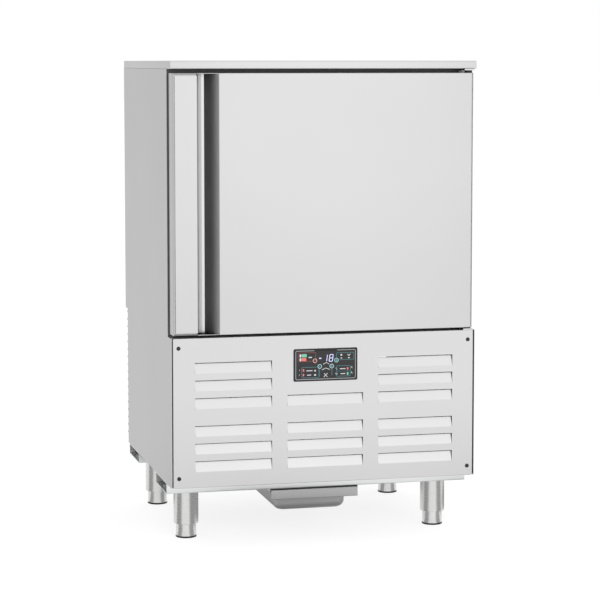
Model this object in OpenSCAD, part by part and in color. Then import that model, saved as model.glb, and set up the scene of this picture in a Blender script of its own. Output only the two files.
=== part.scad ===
// Reach-in blast chiller: an insulated cabinet with a hinged door over a machine compartment on legs.
// X runs across the front, Y from front to back, Z up from the floor. Millimetres.

/* [Cabinet] */
// Height of the compartment's floor above the ground
base_z = 156; // [150:1:190]
// Height of the lower front panel
machine_h = 377; // [365:1:420]
// Height of the top cover's front band
fascia_h = 20; // [16:1:40]
// Thickness of the sheet metal
skin_t = 1.2; // [0.8:0.1:1.6]
// Thickness of the insulated walls
wall_t = 60; // [50:1:66]
// Depth of the door frame behind the front
frame_set = 50; // [46:1:60]
// Depth by which the compartment stops short of the cabinet's back
rear_step = 34; // [25:1:40]
// Thickness of the chamber's lining
liner_t = 1; // [0.8:0.1:1.5]
// Thickness of the front frame
frame_t = 2; // [1.5:0.5:3]

/* [Door] */
// How far the door stands in front of the lower panel
door_proud = 6; // [2:1:10]
// Gap between the door and the top cover
door_gap_top = 10.5; // [9:0.5:14]
// Gap between the door and the lower panel
door_gap_low = 7.5; // [7:0.5:12]
// Distance of the door's edges inside the side panels
door_side_gap = 8; // [4:1:12]
// Thickness of the gasket
gasket_t = 8; // [6:0.5:9]
// Width of the gasket
gasket_w = 18; // [14:1:18]
// Distance of the gasket outside the chamber's opening
gasket_out = 8; // [6:1:8]
// Thickness of the raised field on the door's inside
plug_t = 5; // [3:0.5:5.5]
// Width of the handle's flat grip strip
grip_w = 58.5; // [50:0.5:64]
// Width of the open channel beside the grip strip
channel_w = 56; // [45:1:65]
// Depth of the handle channel
channel_d = 38; // [34:1:40]
// Thickness of the grip strip's edge
grip_t = 10; // [8:0.5:12]
// How far the channel reaches behind the grip strip
grip_pocket = 28; // [20:1:32]
// Width of the channel's slanted side
channel_slant = 31; // [25:1:36]
// Rounding of the door's outer edges
door_r = 5; // [3:0.5:6]

/* [Hinges] */
// Distance of the hinge pin from the door's edge
pin_in = 11; // [10:0.5:14]
// Distance of the hinge pin behind the door's face
pin_back = 16; // [14:0.5:18]
// Diameter of the hinge pins
pin_d = 8; // [6:0.5:9]
// Thickness of the hinge plates
hinge_t = 4; // [3:0.5:4.5]
// Length of the hinge pins in the door
pin_l = 18; // [14:1:24]
// Radial clearance of the hinge pins in their bushes
pin_play = 0.08; // [0.05:0.01:0.1]

/* [Lower panel] */
// Gap between the lower panel and the side panels
panel_gap = 1.8; // [1:0.1:3]
// Depth of the panel's folded top and bottom edges
panel_fold = 10; // [8:1:12]
// Width of a louvre
louvre_w = 197; // [180:1:200]
// Height of a louvre's opening
louvre_h = 28; // [24:1:30]
// Distance between the columns of louvres
louvre_pitch_x = 237; // [230:1:240]
// Distance between the rows of louvres
louvre_pitch_z = 44.5; // [42:0.5:46]
// Height of the lowest louvres above the panel's lower edge
louvre_low = 39; // [34:1:44]
// Extra height between the lower and the upper rows
louvre_band = 25.5; // [20:0.5:30]
// Angle of the louvres' blades
louvre_tilt = 27; // [20:1:35]
// Distance of the panel's screws from its sides
screw_side = 15.5; // [13:0.5:18]
// Distance of the panel's screws from its top and bottom
screw_end = 24.5; // [20:0.5:28]
// Diameter of the panel's screws
screw_d = 5; // [4:0.5:6]

/* [Controls] */
// Width of the control panel
control_w = 166; // [160:1:180]
// Height of the control panel
control_h = 82.5; // [80:0.5:90]
// Distance of the control panel below the lower panel's top
control_drop = 35.5; // [30:0.5:38]
// Corner radius of the control panel
control_r = 4; // [2:0.5:6]
// Width of the control panel's frame
control_rim = 4; // [3:0.5:5]
// How far the control panel stands out
control_proud = 1.6; // [1:0.1:3]
// Diameter of the buttons
button_d = 12; // [10:0.5:12.5]
// How far the buttons stand out of the window
button_proud = 1; // [0.8:0.1:1.5]
// Travel of the buttons
button_travel = 0.8; // [0.4:0.1:1]
// Radial clearance around the buttons
button_play = 0.4; // [0.3:0.05:0.5]

/* [Chamber fittings] */
// Length of the trays' long side
tray_l = 600; // [520:10:660]
// Clearance beside a tray
tray_play = 3; // [2:0.5:6]
// Width of the posts and runners beside the trays
rack_w = 32; // [28:1:40]
// Number of tray levels
levels = 8; // [8:1:12]
// Distance between tray levels
level_pitch = 65; // [60:1:75]
// Height of the lowest tray level above the chamber's floor
level_low = 45; // [30:1:60]
// Height above the highest tray level
top_room = 47; // [40:1:80]
// Width of a runner's shelf
runner_lip = 42; // [30:1:50]
// Height of a runner's side
runner_side = 18; // [12:1:24]
// Thickness of the runners
runner_t = 1.5; // [1.2:0.1:2]
// Length of the runners
runner_l = 412; // [400:2:440]
// Distance of the runners behind the front frame
runner_set = 32; // [30:1:36]
// Clearance between runners and posts
runner_gap = 0.3; // [0.2:0.05:0.5]
// Depth of the space for the fans between their panel and the cooling coil
fan_space = 94; // [90:1:120]
// Height kept free above and below each fan
fan_clear = 21.75; // [20:0.25:30]
// Clearance around a fan
fan_gap = 6; // [4:1:9]
// Thickness of the cooling coil
coil_t = 60; // [50:1:60]
// Diameter of the drain pipe
drain_d = 22; // [18:1:28]

/* [Machine compartment] */
// Width of the condenser
condenser_w = 320; // [280:5:325]
// Height of the condenser
condenser_h = 300; // [280:5:310]
// Thickness of the condenser
condenser_t = 44; // [38:1:50]
// Diameter of the condenser's fan
condenser_fan_d = 240; // [220:5:250]
// Diameter of the compressor
compressor_d = 180; // [160:2:190]
// Height of the compressor
compressor_h = 250; // [220:5:270]
// Diameter of the refrigerant pipes
pipe_d = 12; // [8:1:14]
// Width of the electrical box
ebox_w = 190; // [160:5:210]
// Height of the electrical box
ebox_h = 250; // [220:5:280]
// Depth of the electrical box
ebox_d = 120; // [100:5:140]
// Diameter of the cable hole in the gland
gland_bore = 13; // [9:0.5:15]

/* [Rear cover] */
// Distance between the slats
slat_pitch = 21.2; // [18:0.1:26]
// Height of the lowest slat above the compartment's floor
slat_low = 26; // [24:1:40]
// How far the slats stand out
slat_out = 17; // [12:1:20]

/* [Base] */
// Height of the cross members
cross_h = 28; // [24:1:34]
// Width of the cross members
cross_w = 157; // [140:1:165]
// Thickness of the cross members
cross_t = 2; // [1.5:0.5:3]
// Distance of the front cross member behind the front
cross_set = 75; // [70:1:90]
// Distance of the rear cross member inside the compartment's back
cross_rear = 20; // [15:1:30]
// Distance of the legs from the side panels
leg_in = 64; // [50:1:80]
// Diameter of the leg tubes
leg_d = 64; // [58:1:70]
// Wall of the leg tubes
leg_wall = 5; // [4:0.5:8]
// Height of the feet below the tubes
foot_h = 36; // [28:1:45]
// Radial clearance of the feet in the tubes
foot_play = 1; // [0.8:0.1:1.4]
// Length of a foot that stays in its tube when it is screwed out
foot_hold = 22; // [18:1:24]
// Length by which a foot can be screwed out
foot_travel = 30; // [15:1:32]

/* [Drip tray] */
// Width of the drip tray's front
drip_w = 230; // [220:1:260]
// Height of the drip tray's front
drip_front_h = 25; // [20:1:28]
// Gap between the drip tray and the cross members
drip_gap = 12; // [10:1:14]
// Width of the drip tray's bowl
drip_bowl_w = 194; // [170:1:204]
// Depth of the drip tray's bowl
drip_bowl_h = 62; // [45:1:65]
// Corner radius of the drip tray's bowl
drip_r = 22; // [15:1:25]
// Distance of the drip tray's front behind the front
drip_set = 110; // [100:1:125]
// Distance of the bowl behind the drip tray's front
drip_bowl_set = 45; // [35:1:60]
// Length of the bowl
drip_bowl_l = 280; // [220:5:300]
// Thickness of the drip tray
drip_t = 1.5; // [1:0.1:2]
// How far the drip tray slides out
drip_travel = 250; // [150:10:280]

/* [Hidden] */
$fn = 48;
eps = 0.5;

// Outer sizes, from the trays outwards
body_w = tray_l + 2 * (tray_play + rack_w + wall_t);
runner_back = 6;
body_d = frame_set + runner_set + runner_l + runner_back + fan_space + coil_t + wall_t;
room_h = level_low + (levels - 1) * level_pitch + top_room;
body_h = base_z + machine_h + room_h + 2 * wall_t + fascia_h;

// Planes of the cabinet, from the outside in
side_x = body_w / 2;
inner_x = side_x - skin_t;
front_y = -(body_d - door_proud) / 2;
frame_y = front_y + frame_set;
back_y = front_y + body_d;
low_back_y = back_y - rear_step;
cover_z = body_h - fascia_h;
deck_z = base_z + machine_h;
base_top = base_z + cross_t;

// The chamber inside its lining
room_x = side_x - wall_t;
room_z0 = deck_z + wall_t;
room_z1 = cover_z - wall_t;
room_y1 = back_y - wall_t;
room_mid = (room_z0 + room_z1) / 2;

// The door
door_x = side_x - door_side_gap;
door_z0 = deck_z + door_gap_low;
door_z1 = cover_z - door_gap_top;
door_y0 = front_y - door_proud;
door_y1 = frame_y - gasket_t;
pin_x = door_x - pin_in;
pin_y = door_y0 + pin_back;
bush_r = pin_d / 2 + pin_play + 3;
bush_play = 0.3;
grip_x1 = -door_x + grip_w;
slant_x1 = grip_x1 + channel_w;
slant_x0 = slant_x1 - channel_slant;
pocket_x = grip_x1 - grip_pocket;

// The lower panel and its controls
panel_x = inner_x - panel_gap;
louvre_z = [for (i = [0:5]) base_z + louvre_low + i * louvre_pitch_z + (i > 2 ? louvre_band : 0)];
control_z = deck_z - control_drop - control_h / 2;
button_x = [-28, -15.6, 15.6, 28];
button_z = [10.5, -4.2, -4.2, 10.5];
window_t = 1.2;
window_y = front_y - control_proud + 0.4;
button_back = window_y + window_t + 2.3;
board_y = window_y + window_t + 8;

// The chamber's fans, coil and runners
runner_x = tray_l / 2 + tray_play;
runner_y = frame_y + runner_set;
fan_panel_y = runner_y + runner_l + runner_back;
fan_d = room_h / 2 - 2 * fan_clear;
fan_z = room_h / 4;
fan_axle_d = 8;
coil_y = room_y1 - coil_t;

// The machine compartment
condenser_x = -inner_x + 34;
condenser_z = base_top + 18;
condenser_y = front_y + 70;
shroud_y = condenser_y + condenser_t;
shroud_t = 30;
condenser_fan_x = condenser_x + condenser_w / 2;
condenser_fan_z = condenser_z + condenser_h / 2;
compressor_x = condenser_fan_x;
compressor_set = 140;
compressor_y = low_back_y - compressor_set - compressor_d / 2;
compressor_z = base_top + 14;
receiver_x = compressor_x + 260;
receiver_set = 110;
receiver_y = low_back_y - receiver_set;
receiver_h = 190;
drain_set = 250;
drain_y = front_y + drain_set;
ebox_set = 300;
ebox_y = front_y + ebox_set;
ebox_x = inner_x - 20;
gland_x = ebox_x - 70;
gland_y = ebox_y + ebox_d + 30;

// The base and the drip tray
cross_y0 = front_y + cross_set;
cross_y1 = low_back_y - cross_rear - cross_w;
cross_z = base_z - cross_h;
leg_x = side_x - leg_in;
leg_y0 = cross_y0 + cross_w / 2;
leg_y1 = cross_y1 + cross_w / 2;
foot_r = leg_d / 2 - leg_wall - foot_play;
foot_l = foot_h + foot_travel + foot_hold;
drip_y = front_y + drip_set;
drip_z = cross_z - drip_gap;
drip_back = drip_y + drip_bowl_set + drip_bowl_l + 12;
drip_lip = 4;
rail_t = 1.5;
rail_gap = 0.5;

// A block between two corners
module block(low, high) {
  translate(low) cube(high - low);
}

// A straight round bar between two points
module bar(a, b, d) {
  v = b - a;
  translate(a)
    rotate([0, acos(v.z / norm(v)), atan2(v.y, v.x)])
      cylinder(d = d, h = norm(v));
}

// A pipe through a list of points, with a brazed elbow at each bend
module pipe(points, d) {
  for (i = [1:len(points) - 1]) bar(points[i - 1], points[i], d);
  for (i = [1:1:len(points) - 2]) translate(points[i]) sphere(d = d + 1.5);
}

// Copies at both ends of X, and at the four legs
module left_and_right() {
  children();
  mirror([1, 0, 0]) children();
}

module at_legs() {
  for (y = [leg_y0, leg_y1]) left_and_right() translate([leg_x, y, 0]) children();
}

// Points of an arc, and of a rounded rectangle about the origin
function arc(centre, r, from, to, n = 8) =
  [for (i = [0:n]) centre + r * [cos(from + (to - from) * i / n), sin(from + (to - from) * i / n)]];

module rounded_plate(w, h, r) {
  polygon(concat(
    arc([w / 2 - r, h / 2 - r], r, 0, 90), arc([-w / 2 + r, h / 2 - r], r, 90, 180),
    arc([-w / 2 + r, -h / 2 + r], r, 180, 270), arc([w / 2 - r, -h / 2 + r], r, 270, 360)));
}

// An upright plate drawn in X and Z, from y0 to y1
module upright(y0, y1) {
  translate([0, y1, 0]) rotate([90, 0, 0]) linear_extrude(y1 - y0) children();
}

// ---- Cabinet ----

// Outer skin of one side: forward and stepped in below, with flanges for the lower panel
module side_panel() {
  outline = [
    [front_y, base_z], [low_back_y - skin_t, base_z], [low_back_y - skin_t, deck_z],
    [back_y, deck_z], [back_y, cover_z], [frame_y, cover_z], [frame_y, deck_z], [front_y, deck_z]];
  flange_y = front_y + skin_t + 0.1;
  difference() {
    union() {
      translate([inner_x, 0, 0]) rotate([90, 0, 90]) linear_extrude(skin_t) polygon(outline);
      block([inner_x - 28, flange_y, base_z + 14], [inner_x + eps, flange_y + skin_t, deck_z - 14]);
    }
    for (z = [base_z + screw_end, deck_z - screw_end])
      translate([panel_x - screw_side, flange_y - 1, z])
        rotate([-90, 0, 0]) cylinder(d = screw_d + 0.2, h = skin_t + 2);
  }
}

module left_side_panel() {
  color("silver") mirror([1, 0, 0]) side_panel();
}

module right_side_panel() {
  color("silver") side_panel();
}

// Shallow lid with a front band and a closed underside over the door
module top_cover() {
  color("gainsboro") {
    difference() {
      block([-side_x, front_y, cover_z], [side_x, back_y, body_h]);
      block([-inner_x, front_y + skin_t, cover_z - eps], [inner_x, back_y - skin_t, body_h - skin_t]);
    }
    block([-inner_x - eps, front_y + eps, cover_z], [inner_x + eps, frame_y, cover_z + skin_t]);
  }
}

module back_panel() {
  color("silver") block([-inner_x, back_y - skin_t, deck_z], [inner_x, back_y, cover_z]);
}

// Skin under the cabinet, which closes the machine compartment above
module cabinet_floor_skin() {
  color("silver") difference() {
    block([-inner_x, front_y + panel_fold + 2, deck_z - skin_t], [inner_x, back_y, deck_z]);
    floor_holes(deck_z - skin_t);
  }
}

// Holes for the drain and the two refrigerant pipes
module floor_holes(z) {
  translate([0, drain_y, z - 1]) cylinder(d = drain_d + 1, h = wall_t + 4);
  for (x = [riser_x, feed_x])
    translate([x, riser_y, z - 1]) cylinder(d = pipe_d + 2, h = wall_t + 4);
}

// Face of the cabinet that the gasket meets
module front_frame() {
  color("whitesmoke") difference() {
    block([-inner_x, frame_y, deck_z], [inner_x, frame_y + frame_t, cover_z]);
    block([-room_x, frame_y - 1, room_z0], [room_x, frame_y + frame_t + 1, room_z1]);
  }
}

module inner_liner() {
  y0 = frame_y + frame_t;
  color("silver") difference() {
    block([-room_x - liner_t, y0, room_z0 - liner_t], [room_x + liner_t, room_y1 + liner_t, room_z1 + liner_t]);
    block([-room_x, y0 - 1, room_z0], [room_x, room_y1, room_z1]);
    floor_holes(room_z0 - liner_t - 1);
  }
}

module side_insulation() {
  color("khaki") left_and_right()
    block([room_x + liner_t, frame_y + frame_t, deck_z], [inner_x, back_y - skin_t, cover_z]);
}

module top_insulation() {
  color("khaki")
    block([-room_x - liner_t, frame_y + frame_t, room_z1 + liner_t], [room_x + liner_t, back_y - skin_t, cover_z]);
}

module bottom_insulation() {
  color("khaki") difference() {
    block([-room_x - liner_t, frame_y + frame_t, deck_z], [room_x + liner_t, back_y - skin_t, room_z0 - liner_t]);
    floor_holes(deck_z);
  }
}

module back_insulation() {
  color("khaki")
    block([-room_x - liner_t, room_y1 + liner_t, room_z0 - liner_t],
          [room_x + liner_t, back_y - skin_t, room_z1 + liner_t]);
}

// ---- Chamber fittings ----

// Four folded posts that carry the runners
module rack_posts() {
  post_x = runner_x + runner_t + runner_gap;
  color("silver") left_and_right()
    for (y = [runner_y + 40, runner_y + runner_l - 70]) difference() {
      block([post_x, y, room_z0], [room_x, y + 30, room_z1]);
      block([post_x + runner_t, y + runner_t, room_z0 - 1], [room_x + 1, y + 30 - runner_t, room_z1 + 1]);
    }
}

// Angle runners, a pair for each tray level
module tray_runners() {
  color("silver") left_and_right() for (i = [0:levels - 1]) {
    z = room_z0 + level_low + i * level_pitch;
    block([runner_x - runner_lip, runner_y, z], [runner_x + runner_t, runner_y + runner_l, z + runner_t]);
    block([runner_x, runner_y, z], [runner_x + runner_t, runner_y + runner_l, z + runner_side]);
  }
}

// Finned block with its end plates and return bends
coil_x = room_x - 70;
coil_z0 = room_z0 + 40;
coil_z1 = room_z1 - 40;
riser_x = coil_x + 48;
feed_x = coil_x - 24;
riser_y = coil_y + coil_t / 2;
coil_rows = 8;

module evaporator_coil() {
  row = (coil_z1 - coil_z0) / coil_rows;
  color("lightgray") difference() {
    block([-coil_x, coil_y, coil_z0], [coil_x, room_y1, coil_z1]);
    for (x = [-coil_x + 12:12:coil_x - 12])
      block([x, coil_y - 1, coil_z0 + 3], [x + 6, coil_y + 5, coil_z1 - 3]);
  }
  color("peru") for (i = [0:2:coil_rows - 1]) for (s = [-1, 1])
    translate([s * coil_x, riser_y, coil_z0 + (i + 1) * row])
      rotate([90, 0, 0]) intersection() {
        rotate_extrude() translate([row / 2, 0]) circle(d = pipe_d - 2);
        translate([s > 0 ? 0 : -row, -row, -row]) cube([row, 2 * row, 2 * row]);
      }
}

// Panel between the trays and the coil, open above and below for the air
module fan_panel() {
  color("silver") difference() {
    union() {
      block([-room_x, fan_panel_y, room_z0 + 24], [room_x, fan_panel_y + skin_t, room_z1 - 24]);
      left_and_right()
        block([room_x - skin_t, fan_panel_y, room_z0 + 24], [room_x, coil_y - 8, room_z1 - 24]);
    }
    at_fans() rotate([-90, 0, 0]) translate([0, 0, -2]) cylinder(r = fan_d / 2 + fan_gap, h = 6);
  }
}

module at_fans() {
  for (s = [-1, 1]) translate([0, fan_panel_y, room_mid + s * fan_z]) children();
}

// Wire guards in front of the fans
module fan_guards() {
  wire = 3;
  guard_r = fan_d / 2 + fan_gap + 6;
  ring_gap = 20;
  color("gainsboro") at_fans() rotate([90, 0, 0]) translate([0, 0, wire / 2 + 0.2]) {
    for (i = [0:5]) rotate_extrude() translate([guard_r - i * ring_gap, 0]) circle(d = wire, $fn = 24);
    for (a = [0:60:300]) rotate(a)
      block([guard_r - 5 * ring_gap, -1, -1.2], [guard_r, 1, 0.8]);
  }
}

// Motors on three-armed brackets behind the fan panel
module fan_motors() {
  arm_y = 51;
  arm_r = fan_d / 2 + fan_clear - 2;
  color("dimgray") at_fans() {
    translate([0, arm_y - 3, 0]) rotate([-90, 0, 0]) cylinder(d = 72, h = 16);
    translate([0, 12, 0]) rotate([-90, 0, 0]) cylinder(d = fan_axle_d, h = arm_y - 10);
    for (a = [90, 210, 330]) rotate([0, a, 0]) {
      block([20, arm_y, -8], [arm_r, arm_y + 3, 8]);
      block([arm_r - 3, skin_t, -8], [arm_r, arm_y + 3, 8]);
    }
  }
}

// A fan wheel about its axle, blowing forward along -Y
module fan_wheel(d, blades, depth, hub_d, bore) {
  rotate([-90, 0, 0]) difference() {
    union() {
      cylinder(d = hub_d, h = depth);
      intersection() {
        cylinder(d = d, h = depth);
        for (i = [0:blades - 1]) rotate(i * 360 / blades)
          translate([hub_d / 2 - 4, 0, depth / 2]) rotate([32, 0, 0])
            translate([0, -d / 7, -1]) cube([d / 2, d / 3.5, 2]);
      }
    }
    translate([0, 0, -1]) cylinder(d = bore, h = depth + 2);
  }
}

module chamber_fan(s) {
  color("black") translate([0, fan_panel_y + 8, room_mid + s * fan_z])
    fan_wheel(fan_d, 5, 30, 60, fan_axle_d + 0.1);
}

module chamber_fan_upper() {
  chamber_fan(1);
}

module chamber_fan_lower() {
  chamber_fan(-1);
}

// Food probe in its holder at the front of the chamber's right wall
probe_d = 14;
probe_x = room_x - probe_d / 2 - 4;
probe_y = frame_y + frame_t + 16;
probe_z = room_mid + 40;

module core_probe() {
  color("black") translate([probe_x, probe_y, probe_z]) {
    cylinder(d = probe_d, h = 60);
    translate([0, 0, 60]) sphere(d = probe_d);
  }
  color("silver") translate([probe_x, probe_y, probe_z - 110]) {
    cylinder(d = 4, h = 110 + eps);
    sphere(d = 4);
  }
}

module probe_holder() {
  color("gainsboro") difference() {
    block([probe_x - 11, probe_y - 11, probe_z - 22], [room_x, probe_y + 11, probe_z - 2]);
    translate([probe_x, probe_y, probe_z - 23]) cylinder(d = 5, h = 24);
    translate([probe_x, probe_y, probe_z - 8]) cylinder(d = probe_d + 1, h = 10);
  }
  color("gainsboro") block([room_x - 2, probe_y - 11, probe_z - 40], [room_x, probe_y + 11, probe_z + 20]);
}

// Drain from the chamber's floor down to the drip tray
module drain_pipe() {
  color("white") translate([0, drain_y, 0]) difference() {
    union() {
      translate([0, 0, drip_z + 6]) cylinder(d = drain_d, h = room_z0 - drip_z - 5);
      translate([0, 0, room_z0]) cylinder(d = drain_d * 2, h = 1.5);
    }
    translate([0, 0, drip_z]) cylinder(d = drain_d - 4, h = room_z0 - drip_z + 10);
  }
}

// ---- Hinges ----

// Angle brackets above and below the door, each with its pin
module hinge_brackets() {
  y1 = frame_y;
  w = 13;
  color("silver") {
    block([pin_x - w, pin_y - w, cover_z - hinge_t], [pin_x + w, y1, cover_z]);
    block([pin_x - w, y1 - 3, cover_z - 30], [pin_x + w, y1, cover_z]);
    translate([pin_x, pin_y, door_z1 - pin_l]) cylinder(d = pin_d, h = pin_l + door_gap_top - eps);
    block([pin_x - w, pin_y - w, deck_z], [pin_x + w, y1, deck_z + hinge_t]);
    block([pin_x - w, y1 - 3, deck_z], [pin_x + w, y1, deck_z + 30]);
    translate([pin_x, pin_y, deck_z + eps]) cylinder(d = pin_d, h = pin_l + door_gap_low - eps);
  }
}

module hinge_bushes() {
  bore = pin_d / 2 + pin_play;
  color("black") translate([pin_x, pin_y, 0]) {
    translate([0, 0, door_z1 - pin_l - 2]) difference() {
      union() {
        cylinder(r = bush_r, h = pin_l + 2);
        translate([0, 0, pin_l + 2]) cylinder(r = bush_r + 3, h = door_gap_top - hinge_t - bush_play);
      }
      translate([0, 0, 1]) cylinder(r = bore, h = pin_l + door_gap_top + 4);
    }
    translate([0, 0, door_z0]) difference() {
      union() {
        cylinder(r = bush_r, h = pin_l + 2);
        translate([0, 0, -(door_gap_low - hinge_t - bush_play)])
          cylinder(r = bush_r + 3, h = door_gap_low - hinge_t - bush_play);
      }
      translate([0, 0, -door_gap_low - 1]) cylinder(r = bore, h = pin_l + door_gap_low + 2);
    }
  }
}

// ---- Door ----

// The door's outer surface from its left rear edge, round the handle, to its right rear edge
function door_path(t) = concat(
  [[-door_x + t, door_y1]],
  arc([-door_x + door_r, door_y0 + door_r], door_r - t, 180, 270),
  [[grip_x1 - t, door_y0 + t], [grip_x1 - t, door_y0 + grip_t - t],
   [pocket_x - t, door_y0 + grip_t - t], [pocket_x - t, door_y0 + channel_d + t],
   [slant_x0 + t * slant_tan, door_y0 + channel_d + t], [slant_x1 + t * slant_tan, door_y0 + t]],
  arc([door_x - door_r, door_y0 + door_r], door_r - t, 270, 360),
  [[door_x - t, door_y1]]);

// Shift of the slanted side's corners for one unit of sheet thickness
slant_tan = tan(atan2(channel_d, channel_slant) / 2);
// Points of the path that belong to the handle
handle_points = 16;

function first(path, n) = [for (i = [0:n - 1]) path[i]];
function last(path, n) = [for (i = [n:len(path) - 1]) path[i]];
function reverse(path) = [for (i = [len(path) - 1:-1:0]) path[i]];

module bush_holes() {
  translate([pin_x, pin_y, door_z0 - 1]) cylinder(r = bush_r + 0.05, h = pin_l + 3.05);
  translate([pin_x, pin_y, door_z1 - pin_l - 2.05]) cylinder(r = bush_r + 0.05, h = pin_l + 4);
}

// Grip strip and channel, folded from one sheet and open at both ends
module door_handle() {
  sheet = concat(first(door_path(0), handle_points), reverse(first(door_path(skin_t), handle_points)));
  color("gainsboro") translate([0, 0, door_z0 + skin_t])
    linear_extrude(door_z1 - door_z0 - 2 * skin_t) polygon(sheet);
}

// Front and right side of the door, with its top and bottom caps
module door_skin() {
  sheet = concat(last(door_path(0), handle_points - 1), reverse(last(door_path(skin_t), handle_points - 1)));
  color("gainsboro") difference() {
    union() {
      translate([0, 0, door_z0 + skin_t / 2]) linear_extrude(door_z1 - door_z0 - skin_t) difference() {
        polygon(sheet);
        translate([slant_x1 - 40, door_y0 - 1])
          square([40 + skin_t * slant_tan, channel_d]);
      }
      for (z = [door_z0, door_z1 - skin_t]) translate([0, 0, z])
        linear_extrude(skin_t) polygon(door_path(0));
    }
    bush_holes();
  }
}

module plug_block(t) {
  x = room_x - 6 - t;
  z = 6 + t;
  block([-x, door_y1 - skin_t - min(t, eps), room_z0 + z], [x, door_y1 + plug_t - t, room_z1 - z]);
}

module door_foam() {
  color("khaki") difference() {
    union() {
      translate([0, 0, door_z0 + skin_t]) linear_extrude(door_z1 - door_z0 - 2 * skin_t)
        intersection() {
          polygon(door_path(skin_t));
          translate([-door_x, door_y0]) square([2 * door_x, door_y1 - skin_t - door_y0]);
        }
      plug_block(skin_t);
    }
    bush_holes();
  }
}

// Inner sheet of the door with its raised field
module door_inner_panel() {
  x = door_x - skin_t;
  color("whitesmoke") difference() {
    union() {
      block([-x, door_y1 - skin_t, door_z0 + skin_t], [x, door_y1, door_z1 - skin_t]);
      plug_block(0);
    }
    plug_block(skin_t);
  }
}

module door_gasket() {
  color("dimgray") difference() {
    gasket_block(gasket_out + gasket_w, 0, gasket_t - 0.3);
    gasket_block(gasket_out, -1, gasket_t + 1);
    gasket_groove();
  }
}

module gasket_block(out, y0, y1) {
  block([-room_x - out, door_y1 + y0, room_z0 - out], [room_x + out, door_y1 + y1, room_z1 + out]);
}

// Groove round the gasket's outer edge, which forms its bellows
module gasket_groove() {
  out = gasket_out + gasket_w;
  difference() {
    gasket_block(out + 1, 2.5, 4);
    gasket_block(out - 3, 0, gasket_t);
  }
}

// ---- Lower panel ----

module louvre_holes() {
  for (c = [-1:1]) for (i = [0:5]) if (c != 0 || i < 4)
    if (c != 0 || louvre_z[i] + louvre_h < control_z - control_h / 2 - 6)
      translate([c * louvre_pitch_x, front_y, louvre_z[i]]) children();
}

module lower_front_panel() {
  color("gainsboro") {
    difference() {
      union() {
        block([-panel_x, front_y, base_z], [panel_x, front_y + skin_t, deck_z]);
        for (z = [base_z, deck_z - skin_t])
          block([-panel_x, front_y, z], [panel_x, front_y + panel_fold, z + skin_t]);
      }
      louvre_holes() translate([-louvre_w / 2, -1, 0]) cube([louvre_w, skin_t + 2, louvre_h]);
      translate([0, 0, control_z]) upright(front_y - 1, front_y + skin_t + 1)
        square([control_w - 2 * control_rim, control_h - 2 * control_rim], center = true);
      at_screws() rotate([-90, 0, 0]) translate([0, 0, -1]) cylinder(d = screw_d + 0.5, h = skin_t + 2);
    }
    louvre_holes() translate([-louvre_w / 2 + 1.5, 0, 0]) rotate([-louvre_tilt, 0, 0])
      cube([louvre_w - 3, skin_t, louvre_h - 4]);
  }
}

module at_screws() {
  left_and_right() for (z = [base_z + screw_end, deck_z - screw_end])
    translate([panel_x - screw_side, front_y, z]) children();
}

module panel_screws() {
  color("dimgray") at_screws() rotate([-90, 0, 0]) {
    difference() {
      intersection() {
        translate([0, 0, 4.2]) sphere(r = 7);
        translate([0, 0, -3]) cylinder(d = screw_d + 4, h = 3);
      }
      translate([-3, -0.6, -4]) cube([6, 1.2, 2.4]);
      translate([-0.6, -3, -4]) cube([1.2, 6, 2.4]);
    }
    translate([0, 0, -0.2]) cylinder(d = screw_d, h = 14);
  }
}

// Black frame of the control panel, seated in the lower panel's cut-out
module control_frame() {
  color("black") translate([0, 0, control_z]) difference() {
    union() {
      upright(front_y - control_proud, front_y) rounded_plate(control_w, control_h, control_r);
      upright(front_y - 0.2, front_y + 14)
        rounded_plate(control_w - 2 * control_rim - 0.4, control_h - 2 * control_rim - 0.4, 2);
    }
    upright(front_y - control_proud - 1, front_y + 15)
      rounded_plate(control_w - 2 * control_rim - 4, control_h - 2 * control_rim - 4, 2);
  }
}

module at_button(i) {
  translate([button_x[i], 0, control_z + button_z[i]]) children();
}

module control_window() {
  color("darkslategray") difference() {
    translate([0, 0, control_z]) upright(window_y, window_y + window_t)
      rounded_plate(control_w - 2 * control_rim - 4.6, control_h - 2 * control_rim - 4.6, 2);
    for (i = [0:3]) at_button(i)
      translate([0, window_y - 1, 0]) rotate([-90, 0, 0]) cylinder(r = button_d / 2 + button_play, h = window_t + 2);
  }
}

// Circuit board with its pillars, and a switch that stops each button after its travel
module control_board() {
  switch_y = button_back + button_travel + 0.05;
  w = control_w - 2 * control_rim - 6;
  h = control_h - 2 * control_rim - 6;
  color("seagreen") {
    translate([0, 0, control_z]) upright(board_y, board_y + 1.6) square([w, h], center = true);
    for (x = [-w / 2 + 4, w / 2 - 4]) for (z = [-h / 2 + 4, h / 2 - 4])
      translate([x, window_y + window_t, control_z + z]) rotate([-90, 0, 0])
        cylinder(d = 4, h = 8 + eps);
    translate([0, 0, control_z]) upright(board_y + 1, board_y + 18) square([60, 24], center = true);
    for (i = [0:3]) at_button(i)
      translate([0, switch_y, 0]) rotate([-90, 0, 0]) cylinder(d = button_d / 2, h = board_y + eps - switch_y);
  }
}

// A button cap with a wider foot that stops behind the window
module button(i) {
  color("paleturquoise") at_button(i) {
    translate([0, window_y - button_proud, 0]) rotate([-90, 0, 0])
      cylinder(d = button_d, h = button_proud + window_t + 0.3 + eps);
    translate([0, button_back - 2, 0]) rotate([-90, 0, 0]) cylinder(d = button_d + 2, h = 2);
  }
}

module button_1() {
  button(0);
}

module button_2() {
  button(1);
}

module button_3() {
  button(2);
}

module button_4() {
  button(3);
}

// ---- Machine compartment ----

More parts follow.
